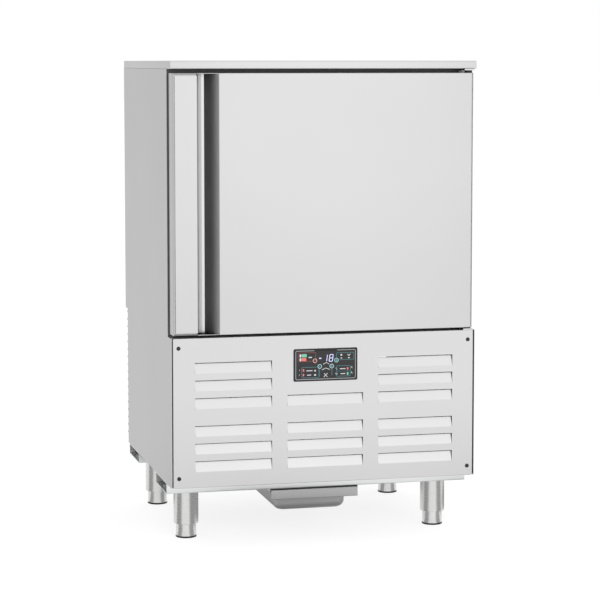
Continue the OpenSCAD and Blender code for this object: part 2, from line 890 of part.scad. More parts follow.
// Rear cover with full-width slats over its air slots
module rear_grille() {
  slat_z0 = base_z + slat_low;
  slats = floor((machine_h - slat_low - 10) / slat_pitch) + 1;
  w = side_x - 1;
  color("silver") {
    difference() {
      block([-side_x, low_back_y - skin_t, base_z], [side_x, low_back_y, deck_z - skin_t]);
      for (i = [0:slats - 1])
        if (i > 0) block([-side_x + 40, low_back_y - skin_t - 1, slat_z0 + i * slat_pitch - 2],
                         [side_x - 40, low_back_y + 1, slat_z0 + i * slat_pitch + 7]);
    }
    for (i = [0:slats - 1]) translate([-w, low_back_y - 0.1, slat_z0 + i * slat_pitch])
      rotate([90, 0, 90]) linear_extrude(2 * w)
        polygon([[0, 9.5], [slat_out, 2], [slat_out, 0], [slat_out - 1.2, 0], [slat_out - 1.2, 1.2], [0, 8.1]]);
  }
}

// Open-ended cross member, 2 mm sheet folded to a flat tube
module cross_member(y) {
  color("silver") difference() {
    block([-side_x, y, cross_z], [side_x, y + cross_w, base_z]);
    block([-side_x - 1, y + cross_t, cross_z + cross_t], [side_x + 1, y + cross_w - cross_t, base_z - cross_t]);
    translate([0, drain_y, cross_z - 1]) cylinder(d = drain_d + 4, h = cross_h + 2);
  }
}

module front_cross_member() {
  cross_member(cross_y0);
}

module rear_cross_member() {
  cross_member(cross_y1);
}

module base_plate() {
  color("silver") difference() {
    block([-inner_x, front_y + panel_fold + 2, base_z], [inner_x, low_back_y - skin_t, base_top]);
    translate([0, drain_y, base_z - 1]) cylinder(d = drain_d + 4, h = cross_t + 2);
    translate([gland_x, gland_y, base_z - 1]) cylinder(d = gland_bore + 8.2, h = cross_t + 2);
    at_grommets() translate([0, 0, base_z - 1]) cylinder(d = 10.2, h = cross_t + 2);
  }
}

module at_grommets() {
  s = compressor_d / 2 - 12;
  for (x = [-s, s]) for (y = [-s, s]) translate([compressor_x + x, compressor_y + y, 0]) children();
}

// Rubber mounts between the compressor's plate and the base
module compressor_grommets() {
  color("black") at_grommets() {
    translate([0, 0, base_z]) cylinder(d = 10, h = cross_t + eps);
    translate([0, 0, base_top]) cylinder(d = 24, h = compressor_z - base_top);
  }
}

// Sealed compressor: pressed shell on a square foot plate
module compressor() {
  r = compressor_d / 2;
  dome = 40;
  color("black") {
    block([compressor_x - r, compressor_y - r, compressor_z], [compressor_x + r, compressor_y + r, compressor_z + 4]);
    translate([compressor_x, compressor_y, compressor_z + 4]) {
      cylinder(r = r - 4, h = compressor_h - dome);
      translate([0, 0, compressor_h - dome]) rotate_extrude()
        polygon(concat([[0, 0]], [for (a = [0:10:90]) [(r - 4) * cos(a), dome * sin(a)]]));
      translate([0, 0, 60]) rotate_extrude() polygon([[r - 5, 0], [r, 0], [r, 6], [r - 5, 6]]);
    }
  }
}

// Condenser block with shallow fin grooves and end plates that stand on the base
module condenser_coil() {
  x1 = condenser_x + condenser_w;
  z1 = condenser_z + condenser_h;
  color("lightgray") {
    difference() {
      block([condenser_x, condenser_y, condenser_z], [x1, shroud_y, z1]);
      for (x = [condenser_x + 10:10:x1 - 12])
        block([x, condenser_y - 1, condenser_z + 3], [x + 5, condenser_y + 4, z1 - 3]);
    }
    for (x = [condenser_x, x1 - 1.5]) block([x, condenser_y, base_top], [x + 1.5, shroud_y, z1]);
  }
}

// Shroud with a round mouth for the fan
module condenser_shroud() {
  x1 = condenser_x + condenser_w;
  z1 = condenser_z + condenser_h;
  color("gray") {
    difference() {
      block([condenser_x, shroud_y, base_top], [x1, shroud_y + shroud_t, z1]);
      block([condenser_x + 1.5, shroud_y - 1, base_top - 1], [x1 - 1.5, shroud_y + shroud_t - 1.5, z1 - 1.5]);
      translate([condenser_fan_x, shroud_y, condenser_fan_z]) rotate([-90, 0, 0])
        cylinder(d = condenser_fan_d + 10, h = shroud_t + 1);
    }
  }
}

module condenser_fan() {
  color("darkgray") translate([condenser_fan_x, shroud_y + shroud_t - 16, condenser_fan_z])
    fan_wheel(condenser_fan_d, 5, 34, 70, fan_axle_d + 0.1);
}

module condenser_motor() {
  arm_y = shroud_y + shroud_t + 36;
  color("dimgray") {
    translate([condenser_fan_x, arm_y, condenser_fan_z]) rotate([-90, 0, 0]) cylinder(d = 84, h = 55);
    translate([condenser_fan_x, arm_y - 48, condenser_fan_z]) rotate([-90, 0, 0])
      cylinder(d = fan_axle_d, h = 50);
    for (z = [condenser_fan_z - 40, condenser_fan_z + 20]) {
      block([condenser_x, arm_y, z], [condenser_x + condenser_w, arm_y + 3, z + 20]);
      for (x = [condenser_x, condenser_x + condenser_w - 3])
        block([x, shroud_y + shroud_t, z], [x + 3, arm_y + 3, z + 20]);
    }
  }
}

module liquid_receiver() {
  h = receiver_h;
  color("black") translate([receiver_x, receiver_y, base_top]) {
    cylinder(d = 90, h = 6);
    translate([0, 0, 5]) cylinder(d = 76, h = 10);
    translate([0, 0, 14]) cylinder(d = 100, h = h - 24);
    translate([0, 0, h - 10]) rotate_extrude()
      polygon(concat([[0, 0]], [for (a = [0:15:90]) [50 * cos(a), 16 * sin(a)]]));
  }
}

drier_z = base_top + 90;
drier_set = 130;
drier_y = receiver_y - drier_set;

module filter_drier() {
  color("goldenrod") translate([receiver_x, drier_y, drier_z]) {
    rotate_extrude() polygon([[0, -70], [8, -70], [8, -60], [22, -46], [22, 46], [8, 60], [8, 70], [0, 70]]);
    translate([0, 0, -drier_z + base_top]) cylinder(d = 6, h = drier_z - base_top - 69);
    translate([0, 0, -drier_z + base_top]) cylinder(d = 40, h = 3);
  }
}

// Copper lines between the compressor, condenser, receiver, drier and cooling coil
module refrigerant_pipes() {
  top = compressor_z + compressor_h + 4;
  cond_x1 = condenser_x + condenser_w;
  far_y = shroud_y - condenser_t / 2;
  line_z = condenser_z + condenser_h - 30;
  shell_r = compressor_d / 2 - 4 + 0.05;
  receiver_r = 50 + 0.05;
  gas_y = compressor_y - shell_r - 20;
  suction_z = coil_z0 + (coil_z1 - coil_z0) * 2 / coil_rows;
  color("peru") {
    // Hot gas from the compressor to the condenser
    pipe([[compressor_x, compressor_y - shell_r, compressor_z + 190], [compressor_x, gas_y, compressor_z + 190],
          [compressor_x, gas_y, top + 10], [cond_x1 + 22, gas_y, top + 10], [cond_x1 + 22, far_y, top + 10],
          [cond_x1 + 22, far_y, line_z], [cond_x1, far_y, line_z]], pipe_d - 2);
    // Liquid from the condenser to the receiver
    pipe([[cond_x1, far_y, condenser_z + 20], [cond_x1 + 14, far_y, condenser_z + 20],
          [cond_x1 + 14, receiver_y, condenser_z + 20],
          [receiver_x - receiver_r, receiver_y, condenser_z + 20]], pipe_d - 4);
    // Liquid from the receiver to the drier, and on to the cooling coil
    pipe([[receiver_x, receiver_y, base_top + receiver_h + 6], [receiver_x, receiver_y, base_top + receiver_h + 36],
          [receiver_x, drier_y, base_top + receiver_h + 36], [receiver_x, drier_y, drier_z + 70]], pipe_d - 4);
    pipe([[receiver_x + 22, drier_y, drier_z], [receiver_x + 60, drier_y, drier_z],
          [receiver_x + 60, riser_y, drier_z], [feed_x, riser_y, drier_z], [feed_x, riser_y, coil_z0]], pipe_d - 4);
    // Suction line back to the compressor
    back_run_y = riser_y - 34;
    suction_x = compressor_x + compressor_d / 2 + 34;
    pipe([[coil_x, riser_y, suction_z], [riser_x, riser_y, suction_z],
          [riser_x, riser_y, deck_z - 40], [riser_x, back_run_y, deck_z - 40],
          [suction_x, back_run_y, deck_z - 40], [suction_x, back_run_y, compressor_z + 120],
          [suction_x, compressor_y, compressor_z + 120],
          [compressor_x + shell_r, compressor_y, compressor_z + 120]], pipe_d);
  }
}

module electrical_box() {
  x1 = ebox_x;
  y0 = ebox_y;
  color("lightgray") difference() {
    block([x1 - ebox_w, y0, base_top], [x1, y0 + ebox_d, base_top + ebox_h]);
    block([x1 - ebox_w + 1.5, y0 + 1.5, base_top + 1.5], [x1 - 1.5, y0 + ebox_d - 1.5, base_top + ebox_h - 1.5]);
  }
  // Terminal rail and contactors inside the box
  rail_z = base_top + 0.4 * ebox_h;
  switch_pitch = (ebox_w - 40) / 3;
  color("gray") {
    block([x1 - ebox_w + 20, y0 + ebox_d - 8, rail_z], [x1 - 20, y0 + ebox_d - 1, rail_z + 10]);
    for (i = [0:2])
      block([x1 - ebox_w + 26 + i * switch_pitch, y0 + ebox_d / 2, rail_z - 25],
            [x1 - ebox_w + 14 + (i + 1) * switch_pitch, y0 + ebox_d - 7, rail_z + 40]);
  }
}

// Gland for the supply cable, through the base plate behind the electrical box
module cable_gland() {
  color("black") translate([gland_x, gland_y, base_z]) difference() {
    union() {
      translate([0, 0, -1]) cylinder(d = gland_bore + 8, h = cross_t + 10);
      translate([0, 0, -5]) cylinder(d = gland_bore + 15, h = 5);
      translate([0, 0, -14]) cylinder(d = gland_bore + 9, h = 10);
      translate([0, 0, cross_t]) cylinder(d = gland_bore + 15, h = 6);
    }
    translate([0, 0, -20]) cylinder(d = gland_bore, h = 60);
  }
}

// ---- Base ----

module leg_tubes() {
  color("silver") at_legs() difference() {
    translate([0, 0, foot_h]) rotate_extrude()
      polygon([[0, 0], [leg_d / 2 - 2, 0], [leg_d / 2, 2], [leg_d / 2, cross_z - foot_h], [0, cross_z - foot_h]]);
    translate([0, 0, foot_h - 1]) cylinder(r = foot_r + foot_play, h = cross_z - foot_h - 4);
  }
}

// Levelling foot: round foot that slides in its tube
module foot() {
  color("silver") rotate_extrude() polygon([
    [0, 0], [foot_r + 1, 0], [foot_r + 1, 5], [foot_r, 6], [foot_r, foot_l], [0, foot_l]]);
}

module foot_front_left() {
  translate([-leg_x, leg_y0, 0]) foot();
}

module foot_front_right() {
  translate([leg_x, leg_y0, 0]) foot();
}

module foot_rear_left() {
  translate([-leg_x, leg_y1, 0]) foot();
}

module foot_rear_right() {
  translate([leg_x, leg_y1, 0]) foot();
}

// Angle rails that hang from both cross members, with lugs that stop the tray's rear lip
module drip_tray_rails() {
  x0 = drip_w / 2 + 1;
  y0 = cross_y0 + 44;
  y1 = cross_y1 + 20;
  low = drip_z - 3 - rail_gap - rail_t;
  lug_y = drip_back - drip_t - drip_travel - rail_gap;
  color("silver") left_and_right() {
    block([x0 - 8, lug_y - 3, drip_z + 1], [x0 + eps, lug_y, cross_z]);
    block([x0, y0, low], [x0 + rail_t, y1, cross_z]);
    block([drip_bowl_w / 2 + 2, y0, low], [x0 + rail_t, y1, low + rail_t]);
    block([x0, y0, cross_z - rail_t], [x0 + 18, y1, cross_z]);
  }
}

// Rounded bowl profile, w wide and h deep below z
module bowl_profile(w, h, r, z) {
  translate([0, z]) polygon(concat([[w / 2, 0], [-w / 2, 0]],
    arc([-w / 2 + r, -h + r], r, 180, 270), arc([w / 2 - r, -h + r], r, 270, 360)));
}

module bowl(t) {
  z = drip_z;
  y_mid = drip_y + drip_bowl_set + drip_bowl_l / 2;
  intersection() {
    upright(drip_y, drip_y + drip_bowl_set + drip_bowl_l + 50)
      bowl_profile(drip_bowl_w - 2 * t, drip_bowl_h - t, drip_r - t, z);
    translate([-drip_bowl_w, y_mid, 0]) rotate([90, 0, 90]) linear_extrude(2 * drip_bowl_w)
      bowl_profile(drip_bowl_l - 2 * t, drip_bowl_h - t, drip_r - t, z);
  }
}

module drip_tray() {
  y1 = drip_y + drip_bowl_set + drip_bowl_l;
  rim_z = drip_z - drip_t;
  color("darkgray") difference() {
    union() {
      block([-drip_w / 2, drip_y, rim_z - 1.5], [drip_w / 2, drip_back, drip_z - 1.5]);
      block([-drip_w / 2, drip_back - drip_t, rim_z - 1.5], [drip_w / 2, drip_back, drip_z + drip_lip]);
      block([-drip_w / 2, drip_y, drip_z - drip_front_h], [drip_w / 2, drip_y + drip_t, drip_z]);
      translate([0, 0, -1.5]) bowl(0);
    }
    translate([0, 0, -1.5]) bowl(drip_t);
    block([-drip_bowl_w / 2 + drip_t, drip_y + drip_bowl_set + drip_t, rim_z - 2],
          [drip_bowl_w / 2 - drip_t, y1 - drip_t, drip_z + 2]);
  }
}

// ---- Assembly ----

left_side_panel();
right_side_panel();
top_cover();
back_panel();
cabinet_floor_skin();
front_frame();
inner_liner();
side_insulation();
top_insulation();
bottom_insulation();
back_insulation();
rack_posts();
tray_runners();
evaporator_coil();
fan_panel();
fan_guards();
fan_motors();
core_probe();
probe_holder();
drain_pipe();
hinge_brackets();
lower_front_panel();
panel_screws();
control_frame();
control_window();
control_board();
rear_grille();
front_cross_member();
rear_cross_member();
base_plate();
leg_tubes();
drip_tray_rails();
compressor();
compressor_grommets();
condenser_coil();
condenser_shroud();
condenser_motor();
liquid_receiver();
filter_drier();
refrigerant_pipes();
electrical_box();
cable_gland();
door_skin();
door_handle();
door_foam();
door_inner_panel();
door_gasket();
hinge_bushes();
chamber_fan_upper();
chamber_fan_lower();
condenser_fan();
button_1();
button_2();
button_3();
button_4();
drip_tray();
foot_front_left();
foot_front_right();
foot_rear_left();
foot_rear_right();
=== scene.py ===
import math

import bmesh
import bpy
import numpy as np
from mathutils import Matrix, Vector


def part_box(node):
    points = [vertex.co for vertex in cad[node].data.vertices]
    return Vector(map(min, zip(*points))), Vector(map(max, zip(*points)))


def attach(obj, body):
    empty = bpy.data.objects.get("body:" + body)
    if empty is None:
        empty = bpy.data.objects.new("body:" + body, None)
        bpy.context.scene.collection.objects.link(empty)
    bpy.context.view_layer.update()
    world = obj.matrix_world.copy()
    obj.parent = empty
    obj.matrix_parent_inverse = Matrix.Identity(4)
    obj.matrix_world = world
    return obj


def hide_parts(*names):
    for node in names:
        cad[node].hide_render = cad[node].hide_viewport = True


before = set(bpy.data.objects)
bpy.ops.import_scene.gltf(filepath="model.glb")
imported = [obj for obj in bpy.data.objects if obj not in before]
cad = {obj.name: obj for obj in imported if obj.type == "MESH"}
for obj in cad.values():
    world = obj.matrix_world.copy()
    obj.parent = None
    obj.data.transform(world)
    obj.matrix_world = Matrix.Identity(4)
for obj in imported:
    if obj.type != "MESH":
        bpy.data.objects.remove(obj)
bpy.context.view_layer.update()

# ---- Camera ----
# A long lens left of the centre and a little above the lid, which looks down at the left front corner. Its
# place, turn and dip were fitted to the edges and feet in the photograph.
lens_turn = math.radians(13.716)
lens_dip = math.radians(5.121)
camera_data = bpy.data.cameras.new("camera")
camera_data.sensor_width = 36
camera_data.lens = 127.05
camera_data.shift_y = -0.08
camera = bpy.data.objects.new("camera", camera_data)
camera.location = (-1.3190, -5.4867, 1.2162)
camera.rotation_euler = (math.pi / 2 - lens_dip, 0, -lens_turn)
bpy.context.scene.collection.objects.link(camera)
bpy.context.scene.camera = camera
bpy.context.scene.view_settings.view_transform = "Standard"

# ---- Light ----
# White studio: an even sky, a large soft lamp in front on the right, and a weak one low before the
# front panel. Seen directly or in metal, the surroundings are plain white.
sky_light = 0.75
white_seen = 1.0


def node(tree, kind, inputs, **settings):
    """Adds a shader node and gives its outputs. Each input is set to a value or linked from an output."""
    made = tree.nodes.new("ShaderNode" + kind)
    for setting, value in settings.items():
        setattr(made, setting, value)
    for socket, value in inputs.items():
        if isinstance(value, bpy.types.NodeSocket):
            tree.links.new(value, made.inputs[socket])
        else:
            made.inputs[socket].default_value = value
    return made.outputs


def seen_directly(tree):
    """1 where a camera, glossy or transmission ray looks, 0 for light that spreads: the largest of three."""
    path = node(tree, "LightPath", {})
    looks = path["Is Camera Ray"]
    for kind in ("Is Glossy Ray", "Is Transmission Ray"):
        looks = node(tree, "Math", {0: looks, 1: path[kind]}, operation="MAXIMUM")[0]
    return looks


def soft_lamp(name, at, aim, size, watts):
    """A rectangular lamp that faces from at to aim: tilted by the angle from straight down, then turned
    by the bearing."""
    data = bpy.data.lights.new(name, "AREA")
    data.shape = "RECTANGLE"
    data.size, data.size_y = size
    data.energy = watts
    lamp = bpy.data.objects.new(name, data)
    lamp.location = at
    way = np.subtract(aim, at)
    flat = math.hypot(way[0], way[1])
    bearing = math.atan2(way[1], way[0])
    lamp.rotation_euler = (math.atan2(flat, -way[2]), 0, bearing - math.pi / 2)
    lamp.visible_camera = False
    bpy.context.scene.collection.objects.link(lamp)


sky = bpy.data.worlds.new("sky")
bpy.context.scene.world = sky
sky.use_nodes = True
tree = sky.node_tree
background = tree.nodes["Background"]
background.inputs["Color"].default_value = (1, 1, 1, 1)
level = node(tree, "MapRange", {"Value": seen_directly(tree), "To Min": sky_light, "To Max": white_seen})[0]
tree.links.new(level, background.inputs["Strength"])
soft_lamp("front_lamp", (0.78, -3.4, 1.38), (0.54, 0, 1.20), (3.7, 2.76), 27.4)
soft_lamp("low_lamp", (0.10, -0.80, 0.21), (0.10, 0, 0.21), (1.9, 0.40), 0.4)

# ---- Floor ----
# A pale floor that keeps the shadow. Where the camera or metal sees it, a glow lifts it to the white of
# the background.
floor_reach = 60.0
spread_tone, seen_tone, floor_glow = 0.80, 0.36, 0.78


def bare_material(name):
    """A material and its node tree, still empty."""
    made = bpy.data.materials.new(name)
    made.use_nodes = True
    made.node_tree.nodes.clear()
    return made, made.node_tree


def laid_out(name, points, faces, look):
    """Flat faces of the set, in metres, that are no part of the chiller."""
    mesh = bpy.data.meshes.new(name)
    mesh.from_pydata(points, [], faces)
    mesh.materials.append(look)
    made = bpy.data.objects.new(name, mesh)
    bpy.context.scene.collection.objects.link(made)
    return made


pale, tree = bare_material("pale_floor")
spread, lit = [node(tree, "BsdfDiffuse", {"Color": (tone, tone, tone, 1)})[0]
               for tone in (spread_tone, seen_tone)]
glow = node(tree, "Emission", {"Strength": floor_glow})[0]
seen = node(tree, "AddShader", {0: lit, 1: glow})[0]
choose = node(tree, "MixShader", {0: seen_directly(tree), 1: spread, 2: seen})[0]
node(tree, "OutputMaterial", {"Surface": choose})
square = [(floor_reach * x, floor_reach * y, 0) for x, y in ((-1, -1), (1, -1), (1, 1), (-1, 1))]
laid_out("floor", square, [(0, 1, 2, 3)], pale)

# ---- Reflection cards ----
# Grey glowing sheets on the floor beside the feet, fanned out to both sides of the view. Only metal sees
# them: they are painted reflections that draw the dark streaks on the round legs.
card_inner, card_outer, card_z = 0.034, 0.50, 0.0004
fan_angles = np.radians(np.linspace(36, 84, 9))
card_look, tree = bare_material("grey_reflection_card")
card_speckle = node(tree, "TexNoise", {"Scale": 400})["Fac"]
shade = node(tree, "MapRange", {"Value": card_speckle, "To Min": 0.34, "To Max": 0.42})[0]
node(tree, "OutputMaterial", {"Surface": node(tree, "Emission", {"Strength": shade})[0]})
feet = ("foot_front_left", "foot_front_right", "foot_rear_left", "foot_rear_right")
corners, sheets = [], []
for foot in feet:
    low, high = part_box(foot)
    foot_x, foot_y = (low[0] + high[0]) / 2, (low[1] + high[1]) / 2
    for way in (-1, 1):
        bearings = -lens_turn + way * fan_angles
        rays = np.column_stack([np.sin(bearings), -np.cos(bearings)])
        fan_out = np.vstack([rays * card_inner, rays[::-1] * card_outer]) + (foot_x, foot_y)
        sheets.append(list(range(len(corners), len(corners) + len(fan_out))))
        corners += [(x, y, card_z) for x, y in fan_out.tolist()]
card_sheets = laid_out("floor_reflection_cards", corners, sheets, card_look)
for kind in ("camera", "diffuse", "shadow", "transmission"):
    setattr(card_sheets, "visible_" + kind, False)

# ---- Finishes of the solids that show as they are ----
# Each finish is a small node tree on object coordinates: a tone with faint clouds, a grain or grit,
# and a gloss that varies with them. It goes on every solid that it names.
along_x, along_y, along_z = (25, 2500, 2500), (2500, 25, 2500), (2500, 2500, 25)


def finish(name, tone, grain, depth, gloss, metal=0.0, bump=0.0, on="", **fixed):
    """A tone lifted and lowered by depth, and a roughness between two gloss values: both follow the mean
    of broad clouds and a noise stretched by grain, which also gives a bump of so many metres."""
    made = bpy.data.materials.new(name)
    made.use_nodes = True
    tree = made.node_tree
    shader = tree.nodes["Principled BSDF"].inputs
    shader["Metallic"].default_value = metal
    for socket, value in fixed.items():
        shader[socket.replace("_", " ")].default_value = value
    scales = grain if isinstance(grain, tuple) else (grain, grain, grain)
    place = node(tree, "TexCoord", {})["Object"]
    stretched = node(tree, "Mapping", {"Vector": place, "Scale": scales})[0]
    fine = node(tree, "TexNoise", {"Vector": stretched, "Scale": 1.0, "Detail": 3.0})["Fac"]
    broad = node(tree, "TexNoise", {"Vector": place, "Scale": 3.0, "Detail": 2.0})["Fac"]
    half = node(tree, "Math", {0: broad, 1: 0.5}, operation="MULTIPLY")[0]
    mean = node(tree, "Math", {0: fine, 1: 0.5, 2: half}, operation="MULTIPLY_ADD")[0]
    low, high = [[c * (1 + way * depth) for c in tone] + [1] for way in (-1, 1)]
    colour = node(tree, "Mix", {"Factor": mean, "A": low, "B": high}, data_type="RGBA")["Result"]
    rough = node(tree, "MapRange", {"Value": mean, "From Min": 0.3, "From Max": 0.7,
                                    "To Min": gloss[0], "To Max": gloss[1]})[0]
    tree.links.new(colour, shader["Base Color"])
    tree.links.new(rough, shader["Roughness"])
    if bump:
        relief = node(tree, "Bump", {"Height": fine, "Strength": 0.6, "Distance": bump})[0]
        tree.links.new(relief, shader["Normal"])
    for solid in on.split():
        for slot in cad[solid].material_slots:
            slot.material = made
    return made


def satin(name, tone, grain, on="", gloss=(0.36, 0.42)):
    """Brushed stainless steel, whose grain runs along the axis with the small scale."""
    return finish(name, tone, grain, 0.03, gloss, 1.0, 0.00002, on)


# The side panels get a darker copy of the door's steel: painted shade on the sides, on top of the shade the
# lamps give.
shaded_side_steel = satin("satin_steel_sides_shaded", (0.452, 0.448, 0.452), along_z, "left_side_panel right_side_panel")
steel_x = satin("satin_steel_across", (0.505, 0.50, 0.505), along_x, "lower_front_panel rear_grille")
steel_z = satin("satin_steel_upright", (0.482, 0.478, 0.482), along_z,
                "back_panel door_skin door_handle hinge_brackets")
steel_y = satin("satin_steel_fore_and_aft", (0.475, 0.471, 0.475), along_y, "tray_runners")
lid_steel = satin("satin_steel_lid", (0.498, 0.494, 0.498), along_x, "top_cover")
liner_steel = satin("lining_steel", (0.58, 0.58, 0.575), along_z,
                    "inner_liner rack_posts fan_panel door_inner_panel fan_guards", (0.28, 0.34))
tray_metal = finish("dull_steel", (0.44, 0.438, 0.44), along_y, 0.05, (0.52, 0.58), 1.0, 0.00002, "drip_tray")
leg_metal = finish("turned_steel", (0.68, 0.68, 0.675), (60, 60, 1500), 0.03, (0.25, 0.30), 1.0, 0.000004,
                   " ".join(("leg_tubes", *feet)))
pale_zinc = finish("pale_zinc_coat", (0.70, 0.705, 0.71), 40, 0.05, (0.35, 0.50), 1.0, 0.00002,
                   "front_cross_member rear_cross_member")
zinc = finish("zinc_coat", (0.46, 0.47, 0.48), 40, 0.12, (0.35, 0.55), 1.0, 0.00002,
              "cabinet_floor_skin base_plate drip_tray_rails condenser_shroud")
foam_fill = finish("rigid_foam", (0.78, 0.66, 0.38), 700, 0.12, (0.80, 0.95), 0.0, 0.0003,
                   "side_insulation top_insulation bottom_insulation back_insulation door_foam")
soft_seal = finish("seal_rubber", (0.045, 0.045, 0.048), 800, 0.15, (0.55, 0.70), 0.0, 0.00004,
                   "door_gasket compressor_grommets")
black_moulded = finish(
    "black_moulded", (0.014, 0.014, 0.016), 1200, 0.25, (0.38, 0.52), 0.0, 0.00005,
    "control_frame cable_gland chamber_fan_upper chamber_fan_lower hinge_bushes core_probe",
    Specular_IOR_Level=0.3)
fin_metal = finish("fin_metal", (0.66, 0.67, 0.68), (30, 30, 1500), 0.08, (0.30, 0.42), 1.0, 0.00005,
                   "evaporator_coil condenser_coil")
copper = finish("drawn_copper", (0.78, 0.36, 0.20), 90, 0.15, (0.25, 0.42), 1.0, 0.00003,
                "refrigerant_pipes filter_drier")
fan_moulding = finish("fan_moulding", (0.06, 0.06, 0.063), 900, 0.15, (0.40, 0.50), 0.0, 0.00003)
screw_black = finish("blackened_screw", (0.012, 0.012, 0.013), 600, 0.15, (0.35, 0.50), 0.0, 0.00002,
                     "panel_screws")
# The front frame's near-black tone is painted shade: it darkens the gap round the door. The probe holder
# shares this finish.
finish("frame_moulding_gap_shade", (0.10, 0.10, 0.102), 900, 0.10, (0.42, 0.55), 0.0, 0.00003,
       "front_frame probe_holder")
finish("dark_window", (0.016, 0.015, 0.018), 30, 0.20, (0.12, 0.18), on="control_window",
       Specular_IOR_Level=0.35)
finish("button_face", (0.30, 0.55, 0.60), 400, 0.06, (0.25, 0.35), on="button_1 button_2 button_3 button_4")
finish("board_green", (0.02, 0.16, 0.06), 500, 0.20, (0.25, 0.35), on="control_board")
finish("black_enamel", (0.014, 0.014, 0.015), 300, 0.25, (0.28, 0.40), 0.0, 0.00004,
       "compressor liquid_receiver condenser_motor fan_motors", Coat_Weight=0.3)
finish("grey_enamel", (0.20, 0.21, 0.22), 400, 0.08, (0.35, 0.45), 0.0, 0.00003,
       "electrical_box condenser_fan")
finish("white_moulded", (0.72, 0.72, 0.70), 700, 0.03, (0.35, 0.45), 0.0, 0.00002, "drain_pipe")

# ---- Side panels ----
# Stainless sheet 1.2 mm thick, one piece each side: forward and down to the base below, set back behind
# the door above. A folded tab welded behind the lower front edge takes the front panel's screws.
mm = 0.001
sheet_t = 1.2


def corners_of(node):
    """Lowest and highest corner of a solid, in millimetres."""
    low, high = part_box(node)
    return np.array(low) / mm, np.array(high) / mm


def bent(corners, radii, steps=6):
    """A line through corners, each inner one rounded: the arc's centre lies on the bisector, a radius
    from both legs."""
    corners = np.asarray(corners, float)
    radii = np.broadcast_to(radii, len(corners) - 2)
    s = np.linspace(0, 1, steps)[:, None]
    line = [corners[:1]]
    for before, at, after, r in zip(corners, corners[1:], corners[2:], radii):
        a = (before - at) / np.linalg.norm(before - at)
        b = (after - at) / np.linalg.norm(after - at)
        half = math.acos(np.clip(a @ b, -1, 1)) / 2
        if r <= 0 or half > 1.5:
            line.append(at[None])
            continue
        centre = at + (a + b) / np.linalg.norm(a + b) * r / math.sin(half)
        start, end = at + a * r / math.tan(half) - centre, at + b * r / math.tan(half) - centre
        swept = math.pi - 2 * half
        arc = (np.sin((1 - s) * swept) * start + np.sin(s * swept) * end) / math.sin(swept)
        line.append(centre + arc)
    line.append(corners[-1:])
    return np.concatenate(line)


def beside(line, distance):
    """The line moved to its left: each point along the mean normal of its two legs, lengthened to keep
    the distance."""
    way = np.diff(line, axis=0)
    way /= np.linalg.norm(way, axis=1)[:, None]
    normal = np.stack([-way[:, 1], way[:, 0]], 1)
    first = np.vstack([normal[:1], normal])
    last = np.vstack([normal, normal[-1:]])
    mean = first + last
    mean /= np.linalg.norm(mean, axis=1)[:, None]
    return line + mean * (distance / np.sum(mean * first, 1))[:, None]


def turned_to(points, axis):
    """Points (u, v, along) in space: along on the named axis, u and v on the others in X, Y, Z order."""
    order = {"x": (2, 0, 1), "y": (0, 2, 1), "z": (0, 1, 2)}[axis]
    return points[..., order]


def grid_faces(rows, columns, round_trip=False):
    """Quads between the neighbouring rows and columns of a grid of points numbered row by row."""
    last = columns if round_trip else columns - 1
    i, j = np.meshgrid(np.arange(rows - 1), np.arange(last), indexing="ij")
    k = (j + 1) % columns
    quads = [i * columns + j, i * columns + k, (i + 1) * columns + k, (i + 1) * columns + j]
    return np.stack(quads, -1).reshape(-1, 4)


def folded(line, low, high, axis, thick=sheet_t):
    """A sheet that follows a flat line: the line and the same line moved aside by thick, both carried
    from low to high along the axis."""
    ring = np.vstack([line, beside(line, thick)[::-1]])
    n = len(ring)
    points = np.stack([np.column_stack([ring, np.full(n, level)]) for level in (low, high)])
    i = np.arange(n // 2 - 1)
    end = np.stack([i, i + 1, n - 2 - i, n - 1 - i], 1)
    faces = np.vstack([grid_faces(2, n, round_trip=True), end, end + n])
    return turned_to(points.reshape(-1, 3), axis), faces


def joined(*parts):
    """Several (points, faces) pairs as one pair, with the faces renumbered."""
    points, faces, count = [], [], 0
    for p, f in parts:
        points.append(np.asarray(p, float))
        faces += [[int(v) + count for v in face] for face in f]
        count += len(p)
    return np.vstack(points), faces


def piece(name, shape, look, body, slot, *solids, edge=0.0, smooth=40):
    """A mesh from points in millimetres, with its seams closed and turned outwards, handed to its body."""
    mesh = bpy.data.meshes.new(name)
    points, faces = shape
    mesh.from_pydata((np.asarray(points, float) * mm).tolist(), [], [list(map(int, f)) for f in faces])
    work = bmesh.new()
    work.from_mesh(mesh)
    bmesh.ops.remove_doubles(work, verts=work.verts, dist=1e-6)
    bmesh.ops.recalc_face_normals(work, faces=work.faces)
    work.to_mesh(mesh)
    work.free()
    mesh.shade_smooth()
    mesh.set_sharp_from_angle(angle=math.radians(smooth))
    mesh.materials.append(look)
    made = bpy.data.objects.new(name, mesh)
    bpy.context.scene.collection.objects.link(made)
    if edge:
        rounding = made.modifiers.new("rounded_edges", "BEVEL")
        rounding.width = edge * mm
        rounding.segments = 2
        rounding.limit_method = "ANGLE"
        rounding.angle_limit = math.radians(50)
        rounding.harden_normals = True
    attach(made, body)
    if solids:
        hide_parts(*solids)


side_low, side_high = corners_of("right_side_panel")
side_x, base_z, cover_z = side_high[0], side_low[2], side_high[2]
front_y, back_y = side_low[1], side_high[1]
frame_y = front_y + 50
low_back_y = corners_of("rear_cross_member")[1][1] + 20
deck_z = corners_of("bottom_insulation")[0][2]
tab_x, tab_y, tab_gap = side_x - 1.3, front_y + 14, 14

